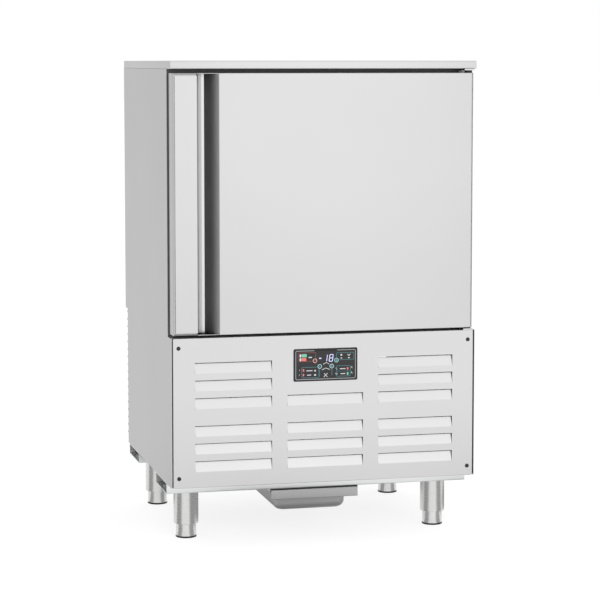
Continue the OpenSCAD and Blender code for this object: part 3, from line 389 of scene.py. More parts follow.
lower = np.array([(side_x, front_y), (side_x, low_back_y - sheet_t)], float)
upper = np.array([(side_x, frame_y), (side_x, back_y)], float)
tab = bent([(side_x - 28, tab_y), (tab_x, tab_y), (tab_x, tab_y + 20)], 2.0)
for side, name in ((-1, "left_side_panel"), (1, "right_side_panel")):
    shape, faces = joined(folded(lower, base_z, deck_z, "z"), folded(upper, deck_z, cover_z, "z"),
                          folded(tab, base_z + tab_gap, deck_z - tab_gap, "z", thick=-sheet_t))
    piece(name + "_sheet", (shape * (side, 1, 1), faces), shaded_side_steel, "cabinet", "stainless_side", name)

# ---- Top cover ----
# A shallow closed lid of stainless sheet with softly bent edges, which lies on the side panels. Its
# front band stands over the door.
lid_bend = 1.8


def soft_block(low, high, r, n=3):
    """A block with rounded edges: each point of a grid on the box goes to the nearest point of the box
    shrunk by r, and from there r outwards."""
    low, high = np.asarray(low, float), np.asarray(high, float)
    near = r * (1 - np.cos(np.linspace(0, math.pi / 2, n + 1)))
    far = r * (1 - np.cos(np.linspace(math.pi / 2, 0, n + 1)))
    along = [np.concatenate([l + near, h - far]) for l, h in zip(low, high)]
    parts = []
    for axis in range(3):
        u, v = [i for i in range(3) if i != axis]
        for end in (low, high):
            a, b = np.meshgrid(along[u], along[v], indexing="ij")
            p = np.empty(a.shape + (3,))
            p[..., u], p[..., v], p[..., axis] = a, b, end[axis]
            core = np.clip(p, low + r, high - r)
            out = p - core
            size = np.linalg.norm(out, axis=-1, keepdims=True)
            p = core + out / np.maximum(size, 1e-9) * r
            parts.append((p.reshape(-1, 3), grid_faces(*a.shape)))
    return joined(*parts)


lid = soft_block(*corners_of("top_cover"), lid_bend)
piece("top_lid", lid, lid_steel, "cabinet", "stainless_front", "top_cover", smooth=60)

# ---- Door ----
# Stainless sheet bent round the hand channel, with a bead along the channel's floor, and on across the
# front to a fine groove before the right edge. The channel is brushed finer; sheet caps close the door
# above and below, and end plates close the channel.
door_low, door_high = corners_of("door_skin")
door_left, door_right = door_low[0] - 3.5, door_high[0] - 2.0
door_z0, door_z1 = door_low[2], door_high[2]
door_y0, door_y1 = door_low[1], corners_of("door_inner_panel")[0][1]
grip_x1, grip_t = corners_of("door_handle")[0][0] + 58.5, 10.0
seat_y, floor_y = door_y0 + grip_t, door_y0 + 38.0
pocket_x, slant_x1 = grip_x1 - 28.0, grip_x1 + 56.0
slant_x0 = slant_x1 - 31.0
floor_x0, floor_x1, bead = slant_x0 - 15.1, slant_x0 - 6.5, 2.2
bead_y = floor_y + bead
groove_x0, groove_x1, groove_y, lip_y = door_right - 4.6, door_right - 1.4, door_y0 + 4.0, door_y0 + 0.5


def prism(outline, low, high, axis):
    """A flat outline carried from low to high along the axis, with both ends closed."""
    n = len(outline)
    points = np.stack([np.column_stack([outline, np.full(n, level)]) for level in (low, high)])
    faces = grid_faces(2, n, round_trip=True).tolist() + [list(range(n)), list(range(n, 2 * n))]
    return turned_to(points.reshape(-1, 3), axis), faces


channel = [(door_left, door_y1), (door_left, seat_y), (pocket_x, seat_y), (pocket_x, bead_y),
           (floor_x0, bead_y), (floor_x1, floor_y), (slant_x0, floor_y), (slant_x1, door_y0),
           (groove_x0, door_y0), (groove_x0, groove_y), (groove_x1, groove_y), (groove_x1, lip_y),
           (door_right, lip_y), (door_right, door_y1)]
bend_points = 6
door_line = bent(channel, [0.8, 0.8, 2.0, 1.5, 1.5, 0.8, 1.6, 0.4, 0, 0, 0.3, 0.5], bend_points)
left_weld, right_weld = 1 + bend_points, 1 + 6 * bend_points
sheet_z = (door_z0 + 0.6, door_z1 - 0.6)
outer_parts = [folded(part, *sheet_z, "z") for part in (door_line[:left_weld + 1], door_line[right_weld:])]
piece("door_sheet", joined(*outer_parts), steel_z, "door", "stainless_front", "door_skin")
channel_steel = satin("channel_steel", (0.482, 0.478, 0.482), along_z, gloss=(0.28, 0.33))
channel_part = folded(door_line[left_weld:right_weld + 1], *sheet_z, "z")
piece("hand_channel", channel_part, channel_steel, "door", "stainless_front", "door_handle")

cap_levels = (door_z0, door_z1 - sheet_t)
caps = [prism(door_line, low, low + sheet_t, "z") for low in cap_levels]
piece("door_caps", joined(*caps), steel_x, "door", "stainless_front", edge=0.5)
hollow = [(grip_x1 + 0.2, door_y0 + 0.6), (grip_x1 + 0.2, seat_y + 0.2), (pocket_x + 0.3, seat_y + 0.2),
          (pocket_x + 0.3, bead_y - 0.3), (floor_x0, bead_y - 0.3), (floor_x1, floor_y - 0.3),
          (slant_x0 - 0.2, floor_y - 0.3), (slant_x1 - 1.4, door_y0 + 0.6)]
ends = [prism(hollow, low, low + sheet_t, "z") for low in cap_levels]
piece("channel_ends", joined(*ends), steel_x, "door", "stainless_front", edge=0.3)

# ---- Grip plate ----
# A thick stainless plate glued on its seat along the door's left edge. It is full size at its back, then
# bevelled on the left, top and bottom, and a fine groove parts the bevel from the flat face.
bevel, cut_w, cut_d = 6.4, 2.2, 4.4


def ring_skin(rings, filled=(0, -1)):
    """A skin over rings of equally many points; the rings numbered in filled get a face."""
    rings = np.asarray(rings, float)
    k, n = rings.shape[:2]
    faces = grid_faces(k, n, round_trip=True).tolist()
    faces += [list(range(i % k * n, i % k * n + n)) for i in filled]
    return rings.reshape(-1, 3), faces


def plate_ring(y, left, ends):
    """A rectangle at depth y, drawn in from the plate's outline on the left and at both ends."""
    x0, z0, z1 = door_left + left, door_z0 + ends, door_z1 - ends
    return [(x0, y, z0), (grip_x1, y, z0), (grip_x1, y, z1), (x0, y, z1)]


slope_end, cut_side = bevel - cut_w, bevel - cut_w + 0.1
grip = ring_skin([plate_ring(seat_y, 0, 0), plate_ring(door_y0 + bevel, 0, 0),
                  plate_ring(door_y0 + cut_w, slope_end, slope_end),
                  plate_ring(door_y0 + cut_d, cut_side, cut_side),
                  plate_ring(door_y0 + cut_d, bevel, bevel), plate_ring(door_y0, bevel + 0.1, bevel)])
piece("grip_plate", grip, steel_z, "door", "stainless_front", edge=0.25)

# ---- Channel shade lining ----
# A dark grey sheet that follows the channel behind the grip plate, pressed in from the front and stopping
# a little short of the door's ends. Its dark tone is painted shade that darkens the hollow of the channel.
painted_shade_grey = finish("painted_shade_grey", (0.32, 0.32, 0.325), 900, 0.15, (0.45, 0.55), 0.0, 0.00004)
trough = bent([(floor_x0 + 0.5, bead_y - 0.4), (pocket_x + 0.5, bead_y - 0.4), (pocket_x + 0.5, seat_y + 0.2),
               (grip_x1 - 1.5, seat_y + 0.2)], 2.5)
trough_shape = folded(trough, door_z0 + 1.4, door_z1 - 1.4, "z", thick=-1.0)
piece("channel_shade_lining", trough_shape, painted_shade_grey, "door", "black_plastic")

# ---- Lower front panel ----
# A flat stainless sheet with folded edges all round and pressed louvres: each louvre is cut along its
# top and sides and pushed in, so that its blade leans back from a soft bend at the bottom.
panel_low, panel_high = corners_of("lower_front_panel")
panel_x, panel_z0, panel_z1 = panel_high[0] - 0.8, panel_low[2], panel_high[2]
louvre_w, louvre_h, louvre_l, louvre_tilt = 197.0, 28.0, 26.2, math.radians(14)
louvre_sill, louvre_pitch, louvre_gap, column_pitch = 39, 44.5, 25.5, 237.0
fold_r, fold_reach, edge_gap, hem = 2.2, 12.0, 0.4, 1.2
rows_z = panel_z0 + louvre_sill + louvre_pitch * np.arange(6) + np.where(np.arange(6) > 2, louvre_gap, 0)
window_low, window_high = corners_of("control_frame")
openings = [(c * column_pitch - louvre_w / 2, c * column_pitch + louvre_w / 2, z, z + louvre_h)
            for c in (-1, 0, 1) for z in (rows_z if c else rows_z[:4])]
cut_out = (window_low[0] + 4, window_high[0] - 4, window_low[2] + 4, window_high[2] - 4)


def punched(x0, x1, z0, z1, holes, y, thick):
    """A sheet with square holes: a grid through all the holes' edges, without the cells in a hole."""
    xs = np.unique([x0, x1] + [h[i] for h in holes for i in (0, 1)])
    zs = np.unique([z0, z1] + [h[i] for h in holes for i in (2, 3)])
    cx, cz = np.meshgrid((xs[1:] + xs[:-1]) / 2, (zs[1:] + zs[:-1]) / 2, indexing="ij")
    solid = np.ones(cx.shape, bool)
    for a, b, c, d in holes:
        solid &= ~((cx > a) & (cx < b) & (cz > c) & (cz < d))
    gx, gz = np.meshgrid(xs, zs, indexing="ij")
    front = np.stack([gx, np.full(gx.shape, y), gz], -1).reshape(-1, 3)
    cells = grid_faces(len(xs), len(zs))[solid.ravel()]
    n = len(front)
    pairs = np.concatenate([cells[:, [k, (k + 1) % 4]] for k in range(4)])
    one, count = np.unique(np.sort(pairs, 1), axis=0, return_counts=True)
    rim = one[count == 1]
    walls = np.column_stack([rim, rim[:, ::-1] + n])
    back = front + (0, thick, 0)
    return np.vstack([front, back]), np.vstack([cells, cells + n, walls])


flat_x = panel_x - fold_r - edge_gap
flat_z = (panel_z0 + hem, panel_z1 - hem)
sheet_parts = [punched(-flat_x, flat_x, *flat_z, openings + [cut_out], front_y, sheet_t)]
for z, up in ((panel_z0, 1), (panel_z1, -1)):
    line = bent([(front_y + 10, z), (front_y, z), (front_y, z + (hem + 0.01) * up)], 1.15)
    sheet_parts.append(folded(line, fold_r - panel_x, panel_x - fold_r, "x", thick=-sheet_t * up))
for side in (-1, 1):
    corner_x = panel_x * side
    line = bent([(flat_x * side, front_y), (corner_x, front_y), (corner_x, front_y + fold_reach)], fold_r)
    sheet_parts.append(folded(line, *flat_z, "z", thick=sheet_t * side))
blade_end = (math.sin(louvre_tilt) * louvre_l, math.cos(louvre_tilt) * louvre_l)
blade = bent([(0.0, 0.0), (0.02, 1.2), blade_end], 3.0)
for x0, x1, z0, z1 in openings:
    sheet_parts.append(folded(blade + (front_y, z0), x0 + 0.6, x1 - 0.6, "x", thick=-sheet_t))
piece("louvred_panel", joined(*sheet_parts), steel_x, "cabinet", "stainless_front", "lower_front_panel")

# ---- Control panel ----
# A touch display in a black moulded frame, in the middle of the panel's upper edge. The marks are printed
# on the back of the dark window and lit from behind, here as skins a tenth of a millimetre proud of it.


def centre_of(node):
    """The middle of a solid's box, in millimetres."""
    low, high = corners_of(node)
    return (low + high) / 2


display = centre_of("control_frame")
window_y = corners_of("control_window")[0][1]
ink_y = window_y - 0.1
rim_y = corners_of("control_frame")[0][1] - 0.08


def glowing(name, tone, strength):
    """A print whose light comes through it: its own finish with an emission of the same tone."""
    return finish(name, tone, 300, 0.05, (0.25, 0.35), Emission_Color=(*tone, 1), Emission_Strength=strength)


def on_display(outline):
    """Points (x, z) from the display's centre, as points of the panel."""
    return np.asarray(outline, float) + (display[0], display[2])


def round_corners(w, h, r, centre=(0, 0), n=5):
    """A rectangle with round corners: each arc is a quarter circle about a point r inside both sides."""
    a = np.linspace(0, math.pi / 2, n)
    x, z = w / 2 - r, h / 2 - r
    arcs = []
    for quarter, (cx, cz) in enumerate(((x, z), (-x, z), (-x, -z), (x, -z))):
        t = a + quarter * math.pi / 2
        arcs.append(np.column_stack([cx + r * np.cos(t), cz + r * np.sin(t)]))
    return np.concatenate(arcs) + centre


def stroke(line, width, closed=False, level=ink_y):
    """A flat line of even width: the line moved half the width to each side, as a skin with a thin edge."""
    line = on_display(line)
    if closed:
        line = np.vstack([line, line[:1]])
    return folded(beside(line, -width / 2), level, level + 0.2, "y", thick=width)


def strokes(*lines):
    """Flat lines, each given as its width and then its points."""
    return [stroke(points, width) for width, *points in lines]


def patches(*marks):
    """Filled marks with round corners, each given as width, height, corner radius and place."""
    outlines = [on_display(round_corners(w, h, r, place)) for w, h, r, *place in marks]
    return [prism(outline, ink_y, window_y + 0.1, "y") for outline in outlines]


def box_line(w, h, centre, button, gap=7.0):
    """A box's outline with round corners, which ends where it comes nearer than gap to a button."""
    loop = round_corners(w, h, 2.0, centre)
    s = np.linspace(0, 1, 24, endpoint=False)[:, None]
    dense = np.concatenate([a + s * (b - a) for a, b in zip(loop, np.roll(loop, -1, axis=0))])
    at = (centre_of(button) - display)[[0, 2]]
    clear = np.hypot(*(dense - at).T) > gap
    start = np.flatnonzero(clear & ~np.roll(clear, 1))[0]
    return np.roll(dense, -start, axis=0)[np.roll(clear, -start)]


def segments(which, cx, cz, w=8.6, h=17.0, bar=1.9, gap=0.35, lean=math.tan(math.radians(8))):
    """A leaning seven-segment digit: each segment is a bar between two of the six corners, less the gaps."""
    ends = {"a": ((-1, 2), (1, 2)), "b": ((1, 2), (1, 0)), "c": ((1, 0), (1, -2)), "d": ((-1, -2), (1, -2)),
            "e": ((-1, 0), (-1, -2)), "f": ((-1, 2), (-1, 0)), "g": ((-1, 0), (1, 0))}
    bars = []
    for name in which:
        p = np.array(ends[name]) * (w / 2, h / 4)
        way = (p[1] - p[0]) / np.linalg.norm(p[1] - p[0]) * gap
        p = p + [way, -way]
        p[:, 0] += lean * p[:, 1]
        bars.append(stroke(p + (cx, cz), bar))
    return joined(*bars)


def printed(name, look, *marks):
    """One colour of the print as a piece."""
    piece("display_" + name, joined(*marks), look, "cabinet", "control_glass")


def rim_part(side, half):
    """The rim's points on one side of the middle, in its upper (1) or lower (-1) half."""
    return rim[(rim[:, 0] * side > 0) & (rim[:, 1] * half > 0)]


rim = round_corners(155.4, 72.4, 3.2)
left_rim = np.vstack([[(-29.5, 36.2)], rim_part(-1, 1), rim_part(-1, -1), [(0, -36.2)]])
right_rim = np.vstack([[(0, -36.2)], rim_part(1, -1), rim_part(1, 1), [(30, 36.2)]])
printed("rim", glowing("print_grey", (0.33, 0.34, 0.34), 0.15),
        *[stroke(line, 1.7, level=rim_y) for line in (left_rim, right_rim)])
printed("red_lines", glowing("print_red", (0.24, 0.045, 0.045), 0.25),
        stroke(box_line(45.5, 22.0, (-48.6, 20.5), "button_1"), 1.2))
printed("teal_lines", glowing("print_teal", (0.055, 0.18, 0.19), 0.25),
        stroke(box_line(45.0, 17.5, (51.0, 20.2), "button_4"), 1.2),
        stroke(box_line(44.5, 26.5, (-40.0, -19.0), "button_2"), 1.2),
        stroke(round_corners(35.5, 26.5, 2.0, (46.5, -17.6)), 1.2, True),
        *strokes((1.2, (-15.6, -10.8), (-15.6, -27.5), (-17.6, -30.0)), (1.6, (16.3, -10.8), (16.3, -28.0)),
                 (0.7, (28.0, -18.0), (62.0, -18.0))))
printed("green_marks", glowing("print_green", (0.16, 0.50, 0.33), 0.25),
        *patches((13.2, 8.2, 1.6, -55.6, 24.2), (4.4, 7.4, 1.2, 57.6, -24.6)))
printed("coral_marks", glowing("print_coral", (0.72, 0.17, 0.13), 0.25),
        *patches((12.2, 8.0, 1.6, -56.2, 14.4), (3.8, 6.6, 1.2, 57.4, -11.6),
                 (3.6, 6.4, 1.0, -57.6, -13.0), (3.6, 6.4, 1.0, -57.6, -24.8)))
printed("white_marks", glowing("print_white", (0.62, 0.64, 0.64), 0.25),
        *patches((4.6, 8.0, 2.2, -65.4, 24.0), (4.6, 8.0, 2.2, -65.4, 14.4), (8.8, 2.6, 1.2, -39.8, 19.4),
                 (4.4, 4.4, 2.1, -27.5, -14.8), (5.6, 4.2, 2.0, -27.5, -25.6),
                 (16.0, 2.0, 0.9, -42.0, -14.4), (11.0, 2.0, 0.9, -43.0, -25.4),
                 (15.0, 2.0, 0.9, 44.5, -12.0), (13.0, 2.0, 0.9, 45.0, -24.6),
                 (4.4, 4.4, 1.2, 41.0, 23.2), (4.0, 2.4, 1.0, 41.0, 15.4), (5.2, 2.4, 1.0, 60.8, 15.6)),
        *strokes((1.2, (56.4, 25.4), (60.8, 21.6), (65.2, 25.4)), (1.0, (58.4, 21.4), (63.2, 21.4)),
                 (1.3, (-6.6, 0.8), (1.6, 5.2), (9.0, 1.2)), (1.4, (-9.6, -13.4), (0.6, -8.8), (10.8, -12.8)),
                 (1.5, (-4.6, -31.6), (5.0, -21.8)), (1.5, (4.6, -31.6), (-4.0, -22.0)),
                 (1.1, (26.4, -9.4), (29.8, -13.6), (28.0, -14.8)),
                 (1.3, (26.0, -22.4), (28.4, -27.0), (31.0, -22.8)),
                 (0.9, (66.2, -11.0), (68.2, -6.6), (69.4, -11.8)),
                 (0.9, (66.6, -24.4), (68.4, -20.2), (69.6, -25.2)),
                 (0.9, (-68.6, -14.0), (-67.2, -10.8)), (0.9, (-68.6, -26.0), (-67.2, -22.8))))
printed("digits", glowing("print_blue_white", (0.62, 0.64, 0.95), 0.45),
        *patches((6.2, 2.6, 1.1, -14.1, 16.3)), segments("bc", -0.6, 16.6), segments("abcdefg", 14.4, 16.4))

# ---- Buttons ----
# Four round keys in the window, each a dark moulded cap with a coloured ring and a small mark let in
# flush. A collar behind the window keeps the cap in.
cap_r = 6.0


def turned(profile, centre, axis, steps=40):
    """A turned shape: each (radius, height) point of the profile goes round the axis through centre."""
    profile = np.asarray(profile, float)
    a = np.linspace(0, 2 * math.pi, steps, endpoint=False)[None]
    r, h = profile[:, :1], profile[:, 1:]
    points = np.stack([centre[0] + r * np.cos(a), centre[1] + r * np.sin(a), h + 0 * a], -1)
    return turned_to(points.reshape(-1, 3), axis), grid_faces(len(profile), steps, round_trip=True)


ring_pink = glowing("ring_pink", (0.66, 0.36, 0.33), 0.2)
ring_teal = glowing("ring_pale_teal", (0.36, 0.60, 0.60), 0.2)
for place, ring in enumerate((ring_pink, ring_teal, ring_teal, ring_teal)):
    name = f"button_{place + 1}"
    low, high = corners_of(name)
    at = centre_of(name)[[0, 2]]
    face, flange, dot_r = low[1], high[1] - 2, 0.9 + 0.2 * place
    cap = [(0, face), (cap_r - 0.5, face), (cap_r, face + 0.5), (cap_r, flange), (cap_r + 1, flange),
           (cap_r + 1, high[1]), (0, high[1])]
    piece(name + "_cap", turned(cap, at, "y"), black_moulded, name, "button", name)
    band = [(3.9, face + 0.3), (3.9, face - 0.1), (5.75, face - 0.1), (5.75, face + 0.3), (3.9, face + 0.3)]
    dot = [(0, face - 0.08), (dot_r, face - 0.08), (dot_r, face + 0.2), (0, face + 0.2)]
    piece(name + "_ring", joined(turned(band, at, "y", 48), turned(dot, at, "y", 24)), ring, name, "button")

# ---- Panel screws ----
# Black pan-head screws with cup washers of blackened steel, one near each corner of the lower panel. They
# hold it to the folded tabs behind it.
screw_low, screw_high = corners_of("panel_screws")
screw_x, screw_z = screw_high[0] - 4.5, (screw_low[2] + 4.5, screw_high[2] - 4.5)
cup = [(4.4, front_y + 0.2), (5.2, front_y), (5.2, front_y - 0.5), (4.6, front_y - 1.0), (4.1, front_y - 0.6),
       (4.4, front_y + 0.2)]
for k, (x, z) in enumerate([(side * screw_x, z) for z in screw_z for side in (-1, 1)]):
    piece(f"screw_washer_{k + 1}", turned(cup, (x, z), "y", 28), screw_black, "cabinet", "screw_steel")

# ---- Door fill ----
# Rigid foam poured between the door's sheet and its inner panel. It follows the sheet's inner face and
# shows only where the door is cut open.
inside = beside(door_line, sheet_t + 0.3)
inside[:, 0] = np.minimum(inside[:, 0], door_right - 6.2)
inside[:, 1] = np.minimum(inside[:, 1], door_y1 - sheet_t - 0.3)
fill = prism(inside, door_z0 + sheet_t + 0.2, door_z1 - sheet_t - 0.2, "z")
piece("door_fill", fill, foam_fill, "door", "foam", "door_foam")

# ---- Door inner panel ----
# A pressed sheet that closes the door's back: a flat border for the gasket, a raised field with round
# corners, and a shallow dished step inside it that stiffens the sheet.
liner_low, liner_high = corners_of("inner_liner")
plug_x, plug_y, plug_r = 329.0, corners_of("door_inner_panel")[1][1], 2.6


def loop_at(box, inset, r, y, n=6):
    """A rectangle with round corners at depth y, drawn in from its sides by inset."""
    x0, x1, z0, z1 = box
    flat = round_corners(x1 - x0 - 2 * inset, z1 - z0 - 2 * inset, r, ((x0 + x1) / 2, (z0 + z1) / 2), n)
    return np.column_stack([flat[:, 0], np.full(len(flat), y), flat[:, 1]])


border = (door_left + sheet_t + 0.2, door_right - sheet_t - 0.2,
          door_z0 + sheet_t + 0.1, door_z1 - sheet_t - 0.1)
field = (-plug_x, plug_x, liner_low[2] + 7, liner_high[2] - 7)
loops = [loop_at(border, 0.4, 1.0, door_y1 - sheet_t), loop_at(border, 0.0, 1.4, door_y1 - 0.5),
         loop_at(border, 0.5, 1.0, door_y1), loop_at(field, -1.5, 15, door_y1),
         loop_at(field, -0.4, 14, door_y1 + 0.6)]
loops += [loop_at(field, plug_r * (1 - math.cos(t)), 14, plug_y - plug_r + plug_r * math.sin(t))
          for t in np.linspace(0, math.pi / 2, 5)]
loops += [loop_at(field, inset, r, plug_y - dip)
          for inset, r, dip in ((34, 12, 0), (36, 11, 0.5), (39, 10, 1.5), (41, 9, 1.8))]
piece("door_inner_pressing", ring_skin(loops), liner_steel, "door", "stainless_inner", "door_inner_panel",
      smooth=50)

# ---- Door gasket ----
# A black extruded seal, mitred at the corners: a foot pushed on to the border, a folded bellows, and a
# flat head that holds the magnet strip.
gasket_low, gasket_high = corners_of("door_gasket")
seal_box = (gasket_low[0], gasket_high[0], gasket_low[2], gasket_high[2])
seal_w, seal_t = 18, gasket_high[1] - door_y1
outer_half = [(2.4, 0.02), (2.4, 1.2), (0.3, 2.0), (3.0, 3.1), (0.2, 4.2), (0.0, 5.0), (0.0, seal_t - 0.8),
              (0.8, seal_t - 0.1), (2.6, seal_t), (seal_w / 2, seal_t - 0.25)]
profile = outer_half + [(seal_w - u, v) for u, v in outer_half[-2::-1]] + outer_half[:1]
loops = [loop_at(seal_box, u, 3 if u < seal_w / 2 else 1.2, door_y1 + v, 3) for u, v in profile]
piece("gasket_profile", ring_skin(loops, ()), soft_seal, "door", "gasket", "door_gasket", smooth=55)

# ---- Cross members ----
# Two box sections of 2 mm zinc-coated sheet under the base, open at their ends. A lip folds up in each
# open end, and a hex bolt through each end holds the base to them.
member_t, lip_t, lip_w = 2, 2.0, 7.5
dull_zinc = finish("dull_zinc", (0.26, 0.265, 0.27), 60, 0.15, (0.45, 0.60), 1.0, 0.00003)
for name in ("front_cross_member", "rear_cross_member"):
    low, high = corners_of(name)
    middle = centre_of(name)[1:]
    deep, tall = (high - low)[1:]
    outer = round_corners(deep, tall, 3.2, n=4)
    inner = round_corners(deep - 2 * member_t, tall - 2 * member_t, 1.2, n=4)
    x0, x1 = low[0] + 0.2, high[0] - 0.2
    box_ends = [np.column_stack([np.full(len(loop), x), loop + middle])
                for x, loop in ((x0, outer), (x1, outer), (x1, inner), (x0, inner), (x0, outer))]
    piece(name + "_box", ring_skin(box_ends, ()), pale_zinc, "cabinet", "zinc_sheet", name)
    z0, z1, y0 = low[2] + member_t, high[2] - member_t, low[1] + 1.5
    fittings = [prism(np.array([(x, y0), (x + lip_t, y0), (x + lip_t, y0 + lip_w), (x, y0 + lip_w)]),
                      low[2] + 1.5, high[2] - 1.5, "z") for x in (low[0] + 0.4, high[0] - 2.4)]
    bolt = [([(0, z0), (5, z0), (5, z1), (0, z1)], 20),
            ([(0, z0), (10, z0), (10, z0 + 6), (9, z0 + 7), (0, z0 + 7)], 6),
            ([(0, z1 - 2), (13, z1 - 2), (13, z1), (0, z1)], 28),
            ([(0, z1 - 10), (9, z1 - 10), (10, z1 - 9), (10, z1 - 2), (0, z1 - 2)], 6)]
    for x in (low[0] + 16, high[0] - 16):
        fittings += [turned(part, (x, middle[0] + 4), "z", sides) for part, sides in bolt]
    piece(name + "_bolts", joined(*fittings), dull_zinc, "cabinet", "zinc_sheet")

# ---- Legs and feet ----
# Stainless tubes with a turned lower lip, welded to round plates under the cross members. A turned foot
# on a black moulded pad slides in each.
tube_z0, tube_z1 = [corner[2] for corner in corners_of("leg_tubes")]
foot_low, foot_high = corners_of("foot_front_left")
leg_r, lip_r, tread_r = 32.0, 2.4, (foot_high[0] - foot_low[0]) / 2
foot_r, pad_t = tread_r - 1.0, 4.0
bore_r = foot_r + 1.2
a = np.linspace(0, math.pi / 2, 6)
lip = np.column_stack([leg_r - lip_r + lip_r * np.sin(a), tube_z0 + lip_r - lip_r * np.cos(a)])
shell = [(bore_r, tube_z0 + 18), (bore_r, tube_z0 + 0.6), (foot_r + 1.8, tube_z0), *lip,
         (leg_r, tube_z1 - 4.0), (leg_r + 0.5, tube_z1 - 2.4), (leg_r + 1.8, tube_z1 - 1.0),
         (leg_r + 1.8, tube_z1), (bore_r, tube_z1), (bore_r, tube_z0 + 18)]
pad = [(0, 0), (tread_r - 1.2, 0), (tread_r - 0.3, 0.5), (tread_r, 1.4), (tread_r, pad_t - 0.6),
       (tread_r - 0.6, pad_t), (0, pad_t)]
for name in feet:
    at, top = centre_of(name)[:2], corners_of(name)[1][2]
    barrel = [(0, pad_t), (foot_r - 0.6, pad_t), (foot_r, pad_t + 0.6), (foot_r, top), (0, top)]
    piece(name + "_turned", turned(barrel, at, "z", 64), leg_metal, name, "leg_steel", name)
    piece(name + "_pad", turned(pad, at, "z", 48), black_moulded, name, "leg_steel")
shells = [turned(shell, centre_of(name)[:2], "z", 72) for name in feet]
piece("leg_shells", joined(*shells), leg_metal, "cabinet", "leg_steel", "leg_tubes")

# ---- Drip tray ----
# Pressed from one stainless sheet: a flat rim, a folded front edge to pull it by, a rear lip that stops
# it, and a deep bowl with soft corners. It hangs in two angle rails under the cross members.
tray_low, tray_high = corners_of("drip_tray")
tray_x0, tray_y0, bowl_z = tray_low
tray_x1, tray_y1, tray_top = tray_high
tray_t, bowl_r = 1.5, 20
rim_z = tray_top - 4 - tray_t
bowl_x, bowl_y0, bowl_y1 = 97.0, tray_y0 + 45, tray_y0 + 325
pull_z, pull_h = rim_z + tray_t + 1.5, 25


def flat_loop(outline, z):
    """A flat outline as a ring of points at one height."""
    return np.column_stack([outline, np.full(len(outline), z)])


def bowl_loop(inset, z, r):
    """The bowl's plan at one height: a rectangle with round corners, drawn in by inset."""
    w, d = 2 * (bowl_x - inset), bowl_y1 - bowl_y0 - 2 * inset
    return flat_loop(round_corners(w, d, r, (0, (bowl_y0 + bowl_y1) / 2), 7), z)


def bowl_wall(out, top):
    """Loops down a wall that leans in, round the soft corner at its foot, and in across the bottom."""
    loops = [bowl_loop(out - inset, top - drop, r)
             for inset, drop, r in ((3.0, 0, 23), (0.9, 0.6, 22), (0, 3.0, 22))]
    for t in np.linspace(0, math.pi / 2, 7):
        z = bowl_z + out + bowl_r - bowl_r * math.sin(t)
        loops.append(bowl_loop(out + 2 + bowl_r * (1 - math.cos(t)), z, 22 - 8 * math.sin(t)))
    return loops


rim_plan = round_corners(tray_x1 - tray_x0, tray_y1 - tray_y0 - 3, 1.0, (0, (tray_y0 + tray_y1) / 2), 7)
tray_parts = [ring_skin([flat_loop(rim_plan, z)] + bowl_wall(out, z), (-1,))
              for out, z in ((0.0, rim_z), (tray_t, rim_z + tray_t))]
tray_parts.append(ring_skin([flat_loop(rim_plan, z) for z in (rim_z, rim_z + tray_t)], ()))
pull = bent([(tray_y0 + 12, rim_z + 0.1), (tray_y0 + 10, pull_z), (tray_y0, pull_z),
             (tray_y0, pull_z - pull_h), (tray_y0 + 6, pull_z - pull_h)], 1.6)
stop_y = tray_y1 - tray_t
stop = bent([(tray_y1 - 6, rim_z + 0.1), (stop_y, rim_z + 0.1), (stop_y, tray_top)], 0.8)
tray_parts += [folded(line, tray_x0, tray_x1, "x", thick=t) for line, t in ((pull, tray_t), (stop, -tray_t))]
piece("drip_tray_pressing", joined(*tray_parts), tray_metal, "drip_tray", "drip_steel", "drip_tray")

# ---- Rear grille ----
# The compartment's rear cover: a steel sheet with slots, and a full-width folded slat over each that
# keeps water out.
wall_y = low_back_y
slat_start, slat_pitch, slat_count, slot_w = 26, 21.2, 17, 330
slat_z = base_z + slat_start + slat_pitch * np.arange(slat_count)
slat_z = slat_z[slat_z < deck_z - 9]
slots = [(x, x + slot_w, z - 2, z + 7) for z in slat_z[1:] for x in (-355.0, 25.0)]
cover_x = side_x - 0.4
rear_parts = [punched(-cover_x, cover_x, base_z, deck_z - sheet_t, slots, wall_y - sheet_t, sheet_t)]
slat = bent([(wall_y - 0.2, 10.5), (wall_y, 9.0), (wall_y + 16.4, 2.0), (wall_y + 16.4, 0.0),
             (wall_y + 13.0, 0.0)], [1.0, 1.4, 0.9])
rear_parts += [folded(slat + (0, z), -side_x + 1.2, side_x - 1.2, "x", thick=-sheet_t) for z in slat_z]
piece("rear_grille_slats", joined(*rear_parts), steel_x, "cabinet", "stainless_side", "rear_grille")

# ---- Chamber lining ----
# A stainless tub open at the front, with coved corners at the back and along its length so that it wipes
# clean.
room_low, room_high = corners_of("inner_liner")
room_x, room_z0, room_z1 = room_high[0] - 1, room_low[2] + 1, room_high[2] - 1
room_y0, room_y1 = room_low[1], room_high[1] - 1
mouth_y, room_mid = room_y0 - 0.4, (room_z0 + room_z1) / 2
room_box = (-room_x, room_x, room_z0, room_z1)
cove, lining_t = 12.0, 0.9
loops = [loop_at(room_box, 0, cove, mouth_y)]
loops += [loop_at(room_box, cove * (1 - math.cos(t)), cove, room_y1 - cove + cove * math.sin(t))
          for t in np.linspace(0, math.pi / 2, 6)]
outer_loops = [loop_at(room_box, -lining_t, cove + lining_t, y) for y in (mouth_y, room_y1 + lining_t)]
tub = joined(ring_skin(loops, (-1,)), ring_skin(outer_loops, (-1,)),
             ring_skin([outer_loops[0], loops[0]], ()))
piece("lining_tub", tub, liner_steel, "cabinet", "stainless_inner", "inner_liner", smooth=50)

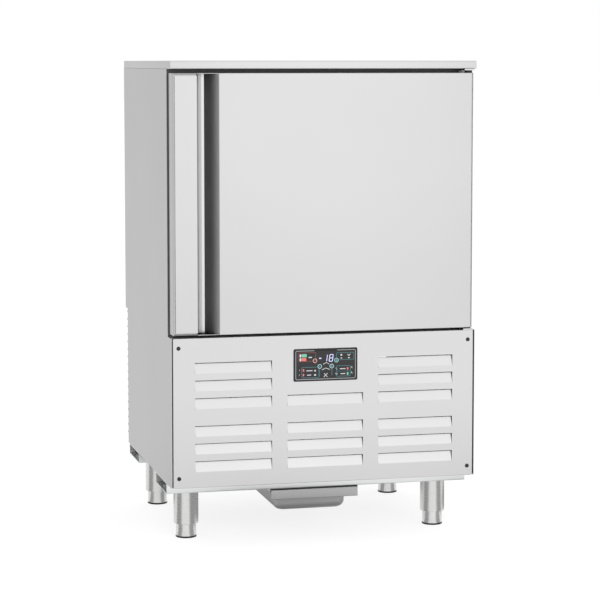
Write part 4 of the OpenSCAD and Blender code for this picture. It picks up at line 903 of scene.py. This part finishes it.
# ---- Drain strainer ----
# A turned stainless cap with rings of small holes, pressed into the drain in the chamber's floor. It keeps
# crumbs out of the pipe.
drain_at = centre_of("drain_pipe")[:2]
cap_z = room_z0 + 1.4
strainer = [(0, room_z0 + 1.6), (9.5, room_z0 + 1.6), (10.5, room_z0 + 2.4), (20, room_z0 + 2.0),
            (21.6, room_z0 + 1.0), (21.6, room_z0 + 0.1)]
piece("drain_strainer", turned(strainer, drain_at, "z", 48), liner_steel, "cabinet", "stainless_inner")
# The holes are not cut: black discs of seal rubber stand in them, painted shade of the open holes.
hole, faces = prism(round_corners(2.6, 2.6, 1.25, n=4), cap_z, cap_z + 0.32, "z")
spots = [(0, 0)] + [(d * math.cos(t), d * math.sin(t)) for d, count in ((4.0, 6), (7.4, 11))
                    for t in np.arange(count) * 2 * math.pi / count]
holes = [(hole + (*np.add(drain_at, spot), 0), faces) for spot in spots]
piece("strainer_hole_shade", joined(*holes), soft_seal, "cabinet", "stainless_inner")

# ---- Rack ----
# Four folded stainless posts with a row of slots, and a pair of angle runners for each tray, held to the
# posts by round-headed rivets. The runners' inner edges have a small rounded lip.
post_low, post_high = corners_of("rack_posts")
runner_low, runner_high = corners_of("tray_runners")
post_w, post_t, runner_t = 30, 1.4, 1.5
post_x, post_y = post_high[0] - 30.2, (post_low[1], post_high[1] - post_w)
post_z = (room_z0 + 0.5, room_z1 - 0.5)
runner_x, inner_x = runner_high[0], -runner_low[0]
rack_pitch, rack_levels = 65.0, 8
level_z = runner_low[2] + rack_pitch * np.arange(rack_levels)
rivet = [(0, -2.0), (1.6, -1.8), (2.8, -1.0), (3.3, 0.1)]
post_parts, runner_parts, rivets = [], [], []
for side in (-1, 1):
    for y in post_y:
        slots = [(y + 12, y + 18, z + dz, z + dz + 14) for z in level_z for dz in (24, 44)]
        face, cells = punched(y, y + post_w, *post_z, slots, post_x, post_t)
        post_parts.append((face[:, [1, 0, 2]] * (side, 1, 1), cells))
        for edge_y, way in ((y, -1), (y + post_w, 1)):
            flange = np.array([(side * (post_x + post_t / 2), edge_y), (side * room_x, edge_y)])
            post_parts.append(folded(flange, *post_z, "z", thick=post_t * way * -side))
    for z in level_z:
        angle = bent([(runner_x, z + 18), (runner_x, z), (inner_x + 1.2, z), (inner_x, z + 1.5)], [2.2, 1.0])
        points, faces = folded(angle, runner_low[1], runner_high[1], "y", thick=-runner_t)
        runner_parts.append((points * (side, 1, 1), faces))
        for y in post_y:
            points, faces = turned(rivet, (y + 9, z + 11), "x", 16)
            points[:, 0] = side * (runner_x - runner_t + points[:, 0])
            rivets.append((points, faces))
piece("slotted_posts", joined(*post_parts), liner_steel, "cabinet", "stainless_inner", "rack_posts")
piece("folded_runners", joined(*runner_parts), steel_y, "cabinet", "stainless_inner", "tray_runners")
piece("runner_rivets", joined(*rivets), leg_metal, "cabinet", "stainless_inner")

# ---- Fan panel ----
# A stainless sheet in front of the cooling coil, drawn back round each fan into a smooth inlet, with
# folded edges and a row of screws down each side.
fans = ("chamber_fan_upper", "chamber_fan_lower")
fan_low, fan_high = corners_of(fans[0])
fan_z = [centre_of(fan)[2] for fan in fans]
fan_r = (fan_high[0] - fan_low[0]) / 2
wall_low, wall_high = corners_of("fan_panel")
panel_y, panel_back, panel_bottom, panel_top = wall_low[1], wall_high[1], wall_low[2], wall_high[2]
half_w, mouth_r = room_x - 0.3, fan_r + 6.0
inlet = [(9, 0), (5, 0.3), (2, 1.4), (0.4, 3.6), (0, 6.5), (0, 15), (1.2, 15), (1.2, 6.8), (2.4, 3.4),
         (5.4, 1.7), (9, sheet_t)]


def round_loop(r, y, cz, angles):
    """A circle about the fan's axle at depth y."""
    return np.column_stack([r * np.cos(angles), np.full(len(angles), y), cz + r * np.sin(angles)])


def square_loop(y, cz, z0, z1, angles):
    """The points where rays from the axle at these angles leave the rectangle between z0 and z1."""
    c, s = np.cos(angles), np.sin(angles)
    to_end = np.where(s > 0, z1 - cz, cz - z0) / np.maximum(np.abs(s), 1e-9)
    far = np.minimum(half_w / np.maximum(np.abs(c), 1e-9), to_end)
    return np.column_stack([far * c, np.full(len(angles), y), cz + far * s])


fan_parts = []
for cz, z0, z1 in ((fan_z[0], room_mid, panel_top), (fan_z[1], panel_bottom, room_mid)):
    corner = [math.atan2(z - cz, side * half_w) % (2 * math.pi) for z in (z0, z1) for side in (-1, 1)]
    even = np.linspace(0, 2 * math.pi, 96, endpoint=False)
    angles = np.unique(np.round(np.concatenate([even, corner]), 9))
    loops = [square_loop(panel_y, cz, z0, z1, angles)]
    loops += [round_loop(mouth_r + out, panel_y + depth, cz, angles) for out, depth in inlet]
    loops += [square_loop(panel_y + sheet_t, cz, z0, z1, angles)]
    fan_parts.append(ring_skin(loops, ()))
for z, up in ((panel_bottom, 1), (panel_top, -1)):
    fold = np.array([(panel_y, z), (panel_y + 14, z)])
    fan_parts.append(folded(fold, -half_w, half_w, "x", thick=sheet_t * up))
for side in (-1, 1):
    fold = np.array([(side * half_w, panel_y + 0.6), (side * half_w, panel_back)])
    fan_parts.append(folded(fold, panel_bottom, panel_top, "z", thick=sheet_t * side))
piece("fan_wall", joined(*fan_parts), liner_steel, "cabinet", "stainless_inner", "fan_panel", smooth=50)
screw_head = np.array([(0, -2.2), (2.0, -2.1), (3.8, -1.2), (4.2, 0.1)])
heads = [turned(screw_head + (0, panel_y), (side * (room_x - 12), z), "y", 20)
         for side in (-1, 1) for z in np.linspace(panel_bottom + 16, panel_top - 16, 5)]
piece("fan_wall_screws", joined(*heads), leg_metal, "cabinet", "screw_steel")

# ---- Fan guards ----
# Round steel wires: rings 10 mm apart, welded to six spokes whose ends bend back towards the panel, and a
# pressed disc in the middle.
wire_d, ring_step = 2.2, 10.0


def wire(line, d, sides=8, ring=False):
    """A round bar along a line: circles across it, set out with one skew vector that no run of it follows."""
    line = np.asarray(line, float)
    way = np.roll(line, -1, 0) - np.roll(line, 1, 0) if ring else np.gradient(line, axis=0)
    way /= np.linalg.norm(way, axis=1)[:, None]
    u = np.cross(way, (0.37, 0.61, 0.70))
    u /= np.linalg.norm(u, axis=1)[:, None]
    v = np.cross(way, u)
    t = np.linspace(0, 2 * math.pi, sides, endpoint=False)[None, :, None]
    rings = line[:, None] + d / 2 * (np.cos(t) * u[:, None] + np.sin(t) * v[:, None])
    return ring_skin(np.concatenate([rings, rings[:1]]), ()) if ring else ring_skin(rings)


around = np.linspace(0, 2 * math.pi, 72, endpoint=False)
spoke_r = np.array([30.0, 60.0, 100.0, mouth_r + 9, mouth_r + 13, mouth_r + 17])
spoke_y = panel_y + np.array([-4.6, -4.6, -4.6, -4.4, -2.6, -1.0])
disc = np.array([(0, -5.0), (27, -5.0), (31, -4.2), (32, -3.0), (31, -2.4), (0, -2.4)]) + (0, panel_y)
guard_parts = []
for cz in fan_z:
    for r in np.arange(33.0, mouth_r + 13, ring_step):
        guard_parts.append(wire(round_loop(r, panel_y - 2.6, cz, around), wire_d, 6, ring=True))
    for t in np.radians(np.arange(0, 360, 60)):
        spoke = np.column_stack([spoke_r * math.cos(t), spoke_y, cz + spoke_r * math.sin(t)])
        guard_parts.append(wire(spoke, wire_d, 6))
    guard_parts.append(turned(disc, (0, cz), "y", 48))
piece("wire_guards", joined(*guard_parts), steel_z, "cabinet", "stainless_inner", "fan_guards")

# ---- Fan wheels ----
# Moulded plastic wheels, one on each fan's shaft: a cupped hub and five broad blades, swept back, steeper
# at the root than at the tip.
blade_count, hub_r, axle_r, blade_t, blade_sweep, blade_chord = 5, 30.0, 5.2, 2.4, -0.32, 1.05


def blade_skin(r0, r1, depth, turn, pitch, rows=9, across=9):
    """One blade: u runs out from the hub, v across it. The angle round the axle grows with v and with the
    sweep, the depth follows v and the pitch, and a sine arch gives the camber; both faces close in a loop."""
    u = np.linspace(0, 1, rows)[:, None]
    v = np.linspace(0, 1, across)
    v = np.concatenate([v, v[-2:0:-1]])[None]
    face = np.concatenate([np.ones(across), -np.ones(across - 2)])[None]
    body = np.sin(math.pi * v) * blade_t / 2 * face
    r = r0 + (r1 - r0) * u
    wide = blade_chord * (0.72 + 0.5 * np.sin(math.pi * u * 0.55))
    angle = turn + blade_sweep * u ** 1.5 + (v - 0.5) * wide / r * 60
    high = (v - 0.5) * pitch * (1 - 0.35 * u) + 2.5 * np.sin(math.pi * v) + body
    return np.stack([r * np.cos(angle), r * np.sin(angle), depth + high], -1)


for fan, z in zip(fans, fan_z):
    low, high = corners_of(fan)
    y0, y1 = low[1], high[1]
    hub = [(axle_r, y0 + 1.5), (hub_r - 5, y0 + 0.4), (hub_r - 1.2, y0 + 1.4), (hub_r, y0 + 4),
           (hub_r, y1 - 0.4), (hub_r - 2, y1 - 0.4), (hub_r - 2, y0 + 5), (axle_r + 4, y0 + 5),
           (axle_r + 4, y1 - 3), (axle_r, y1 - 3), (axle_r, y0 + 1.5)]
    parts = [turned(hub, (0, z), "y", 56)]
    for k in range(blade_count):
        turn = k * 2 * math.pi / blade_count
        rings = blade_skin(hub_r - 0.8, fan_r, (y0 + y1) / 2, turn, (y1 - y0) * 0.86)
        parts.append(ring_skin(turned_to(rings, "y") + (0, 0, z)))
    piece(fan + "_wheel", joined(*parts), fan_moulding, fan, "black_plastic", fan, smooth=45)

# ---- Cooling coil ----
# Aluminium fins 4 mm apart on copper tubes, between two end plates. It stands behind the fan
# panel, and bends join its tubes in pairs at both ends.
coil_x, coil_y0, coil_z0, coil_z1 = 265.0, corners_of("evaporator_coil")[0][1], room_z0 + 40, room_z1 - 40
fin_pitch, fin_t, plate_t, tube_d, tube_rows = 4.0, 0.35, 1.5, 9.5, 8
tube_ys, row = (coil_y0 + 16, coil_y0 + 44), (coil_z1 - coil_z0) / tube_rows


def slab(low, high):
    """A plain block between two corners, with outward faces."""
    x, y, z = np.meshgrid(*[(a, b) for a, b in zip(low, high)], indexing="ij")
    faces = [(0, 1, 3, 2), (4, 6, 7, 5), (0, 4, 5, 1), (2, 3, 7, 6), (0, 2, 6, 4), (1, 5, 7, 3)]
    return np.stack([x, y, z], -1).reshape(-1, 3), faces


fin, faces = slab((0, coil_y0 + 0.5, coil_z0 + 1), (fin_t, room_y1 - 1.5, coil_z1 - 1))
fins = [(fin + (x, 0, 0), faces) for x in np.arange(-coil_x + 5, coil_x - 3, fin_pitch)]
piece("coil_fins", joined(*fins), fin_metal, "cabinet", "fins", "evaporator_coil")
plates = [slab((x, coil_y0, coil_z0), (x + plate_t, room_y1 - 0.5, coil_z1))
          for x in (-coil_x, coil_x - plate_t)]
piece("coil_end_plates", joined(*plates), zinc, "cabinet", "fins")
tubes = []
for k in range(tube_rows):
    z = coil_z0 + (k + 0.5) * row
    tubes += [wire([(x, y, z) for x in (-coil_x - 4, 0, coil_x + 4)], tube_d, 10) for y in tube_ys]
t = np.linspace(-math.pi / 2, math.pi / 2, 13)
for k in range(0, tube_rows, 2):
    z = coil_z0 + (k + 1) * row
    for side in (-1, 1):
        for y in tube_ys:
            x = side * (coil_x + 2 + row / 2 * 0.8 * np.cos(t))
            tubes.append(wire(np.column_stack([x, np.full(13, y), z + row / 2 * np.sin(t)]), tube_d, 10))
piece("coil_tubes", joined(*tubes), copper, "cabinet", "copper")

# ---- Core probe ----
# A stainless needle with a ground point in a ribbed black handle that is moulded round it. The probe
# stands in its holder.
probe_low, probe_high = corners_of("core_probe")
probe_at, handle_l, rib_pitch = centre_of("core_probe")[:2], 67, 5.0
grip_z = probe_high[2] - handle_l
ribs = [(r, grip_z + 12 + rib_pitch * k + up) for k in range(8)
        for r, up in ((6.9, 0), (6.9, 2.8), (6.1, 3.4), (6.1, 4.4))]
handle = [(0, grip_z), (4.0, grip_z), (6.0, grip_z + 3), (7.0, grip_z + 9), *ribs, (6.9, grip_z + 54),
          (6.4, grip_z + 60), (4.4, grip_z + 65), (0, grip_z + handle_l)]
piece("probe_handle", turned(handle, probe_at, "z", 32), black_moulded, "cabinet", "black_plastic",
      "core_probe")
point_z = probe_low[2]
needle = [(0, point_z), (0.5, point_z + 1.2), (2.0, point_z + 10), (2.0, grip_z + 1), (0, grip_z + 1)]
piece("probe_needle", turned(needle, probe_at, "z", 24), leg_metal, "cabinet", "black_plastic")

# ---- Back panel ----
# A stainless sheet let in between the side panels. Its edges are folded in, and pan-head screws hold it.
back_low, back_high = corners_of("back_panel")
back_z0, back_z1, back_face = back_low[2], back_high[2], back_high[1]
back_box = (back_low[0] + 0.8, back_high[0] - 0.8, back_z0, back_z1 - 0.3)
fold_y = back_low[1] - 6
loops = [loop_at(back_box, inset, r, y, 4)
         for inset, r, y in ((2.0, 1.0, fold_y), (0.0, 1.4, fold_y), (0.0, 1.4, back_face - 0.9),
                             (0.3, 1.4, back_face - 0.3), (1.0, 1.2, back_face))]
piece("back_sheet", ring_skin(loops, (-1,)), steel_z, "cabinet", "stainless_side", "back_panel")

# ---- Rear screws ----
# Pan-head steel screws with a small round socket, down the back panel's edges and middle and near the
# corners of the rear cover.
row_x = (back_low[0] + 16, back_high[0] - 16)
upper_spots = [(x, z) for x in (row_x[0], 0.0, row_x[1]) for z in (back_z0 + 18, back_z1 - 20)]
upper_spots += [(x, (back_z0 + back_z1) / 2) for x in row_x]
lower_spots = [(x, z) for x in (-side_x + 14, side_x - 14) for z in (base_z + 10, deck_z - 5)]
head = np.array([(4.3, -0.1), (4.0, 1.2), (2.4, 2.1), (1.1, 2.3), (1.0, 1.5), (0, 1.4)])
heads = [turned(head + (0, back_face), at, "y", 24) for at in upper_spots]
heads += [turned(head + (0, wall_y), at, "y", 24) for at in lower_spots]
piece("rear_screws", joined(*heads), leg_metal, "cabinet", "screw_steel")
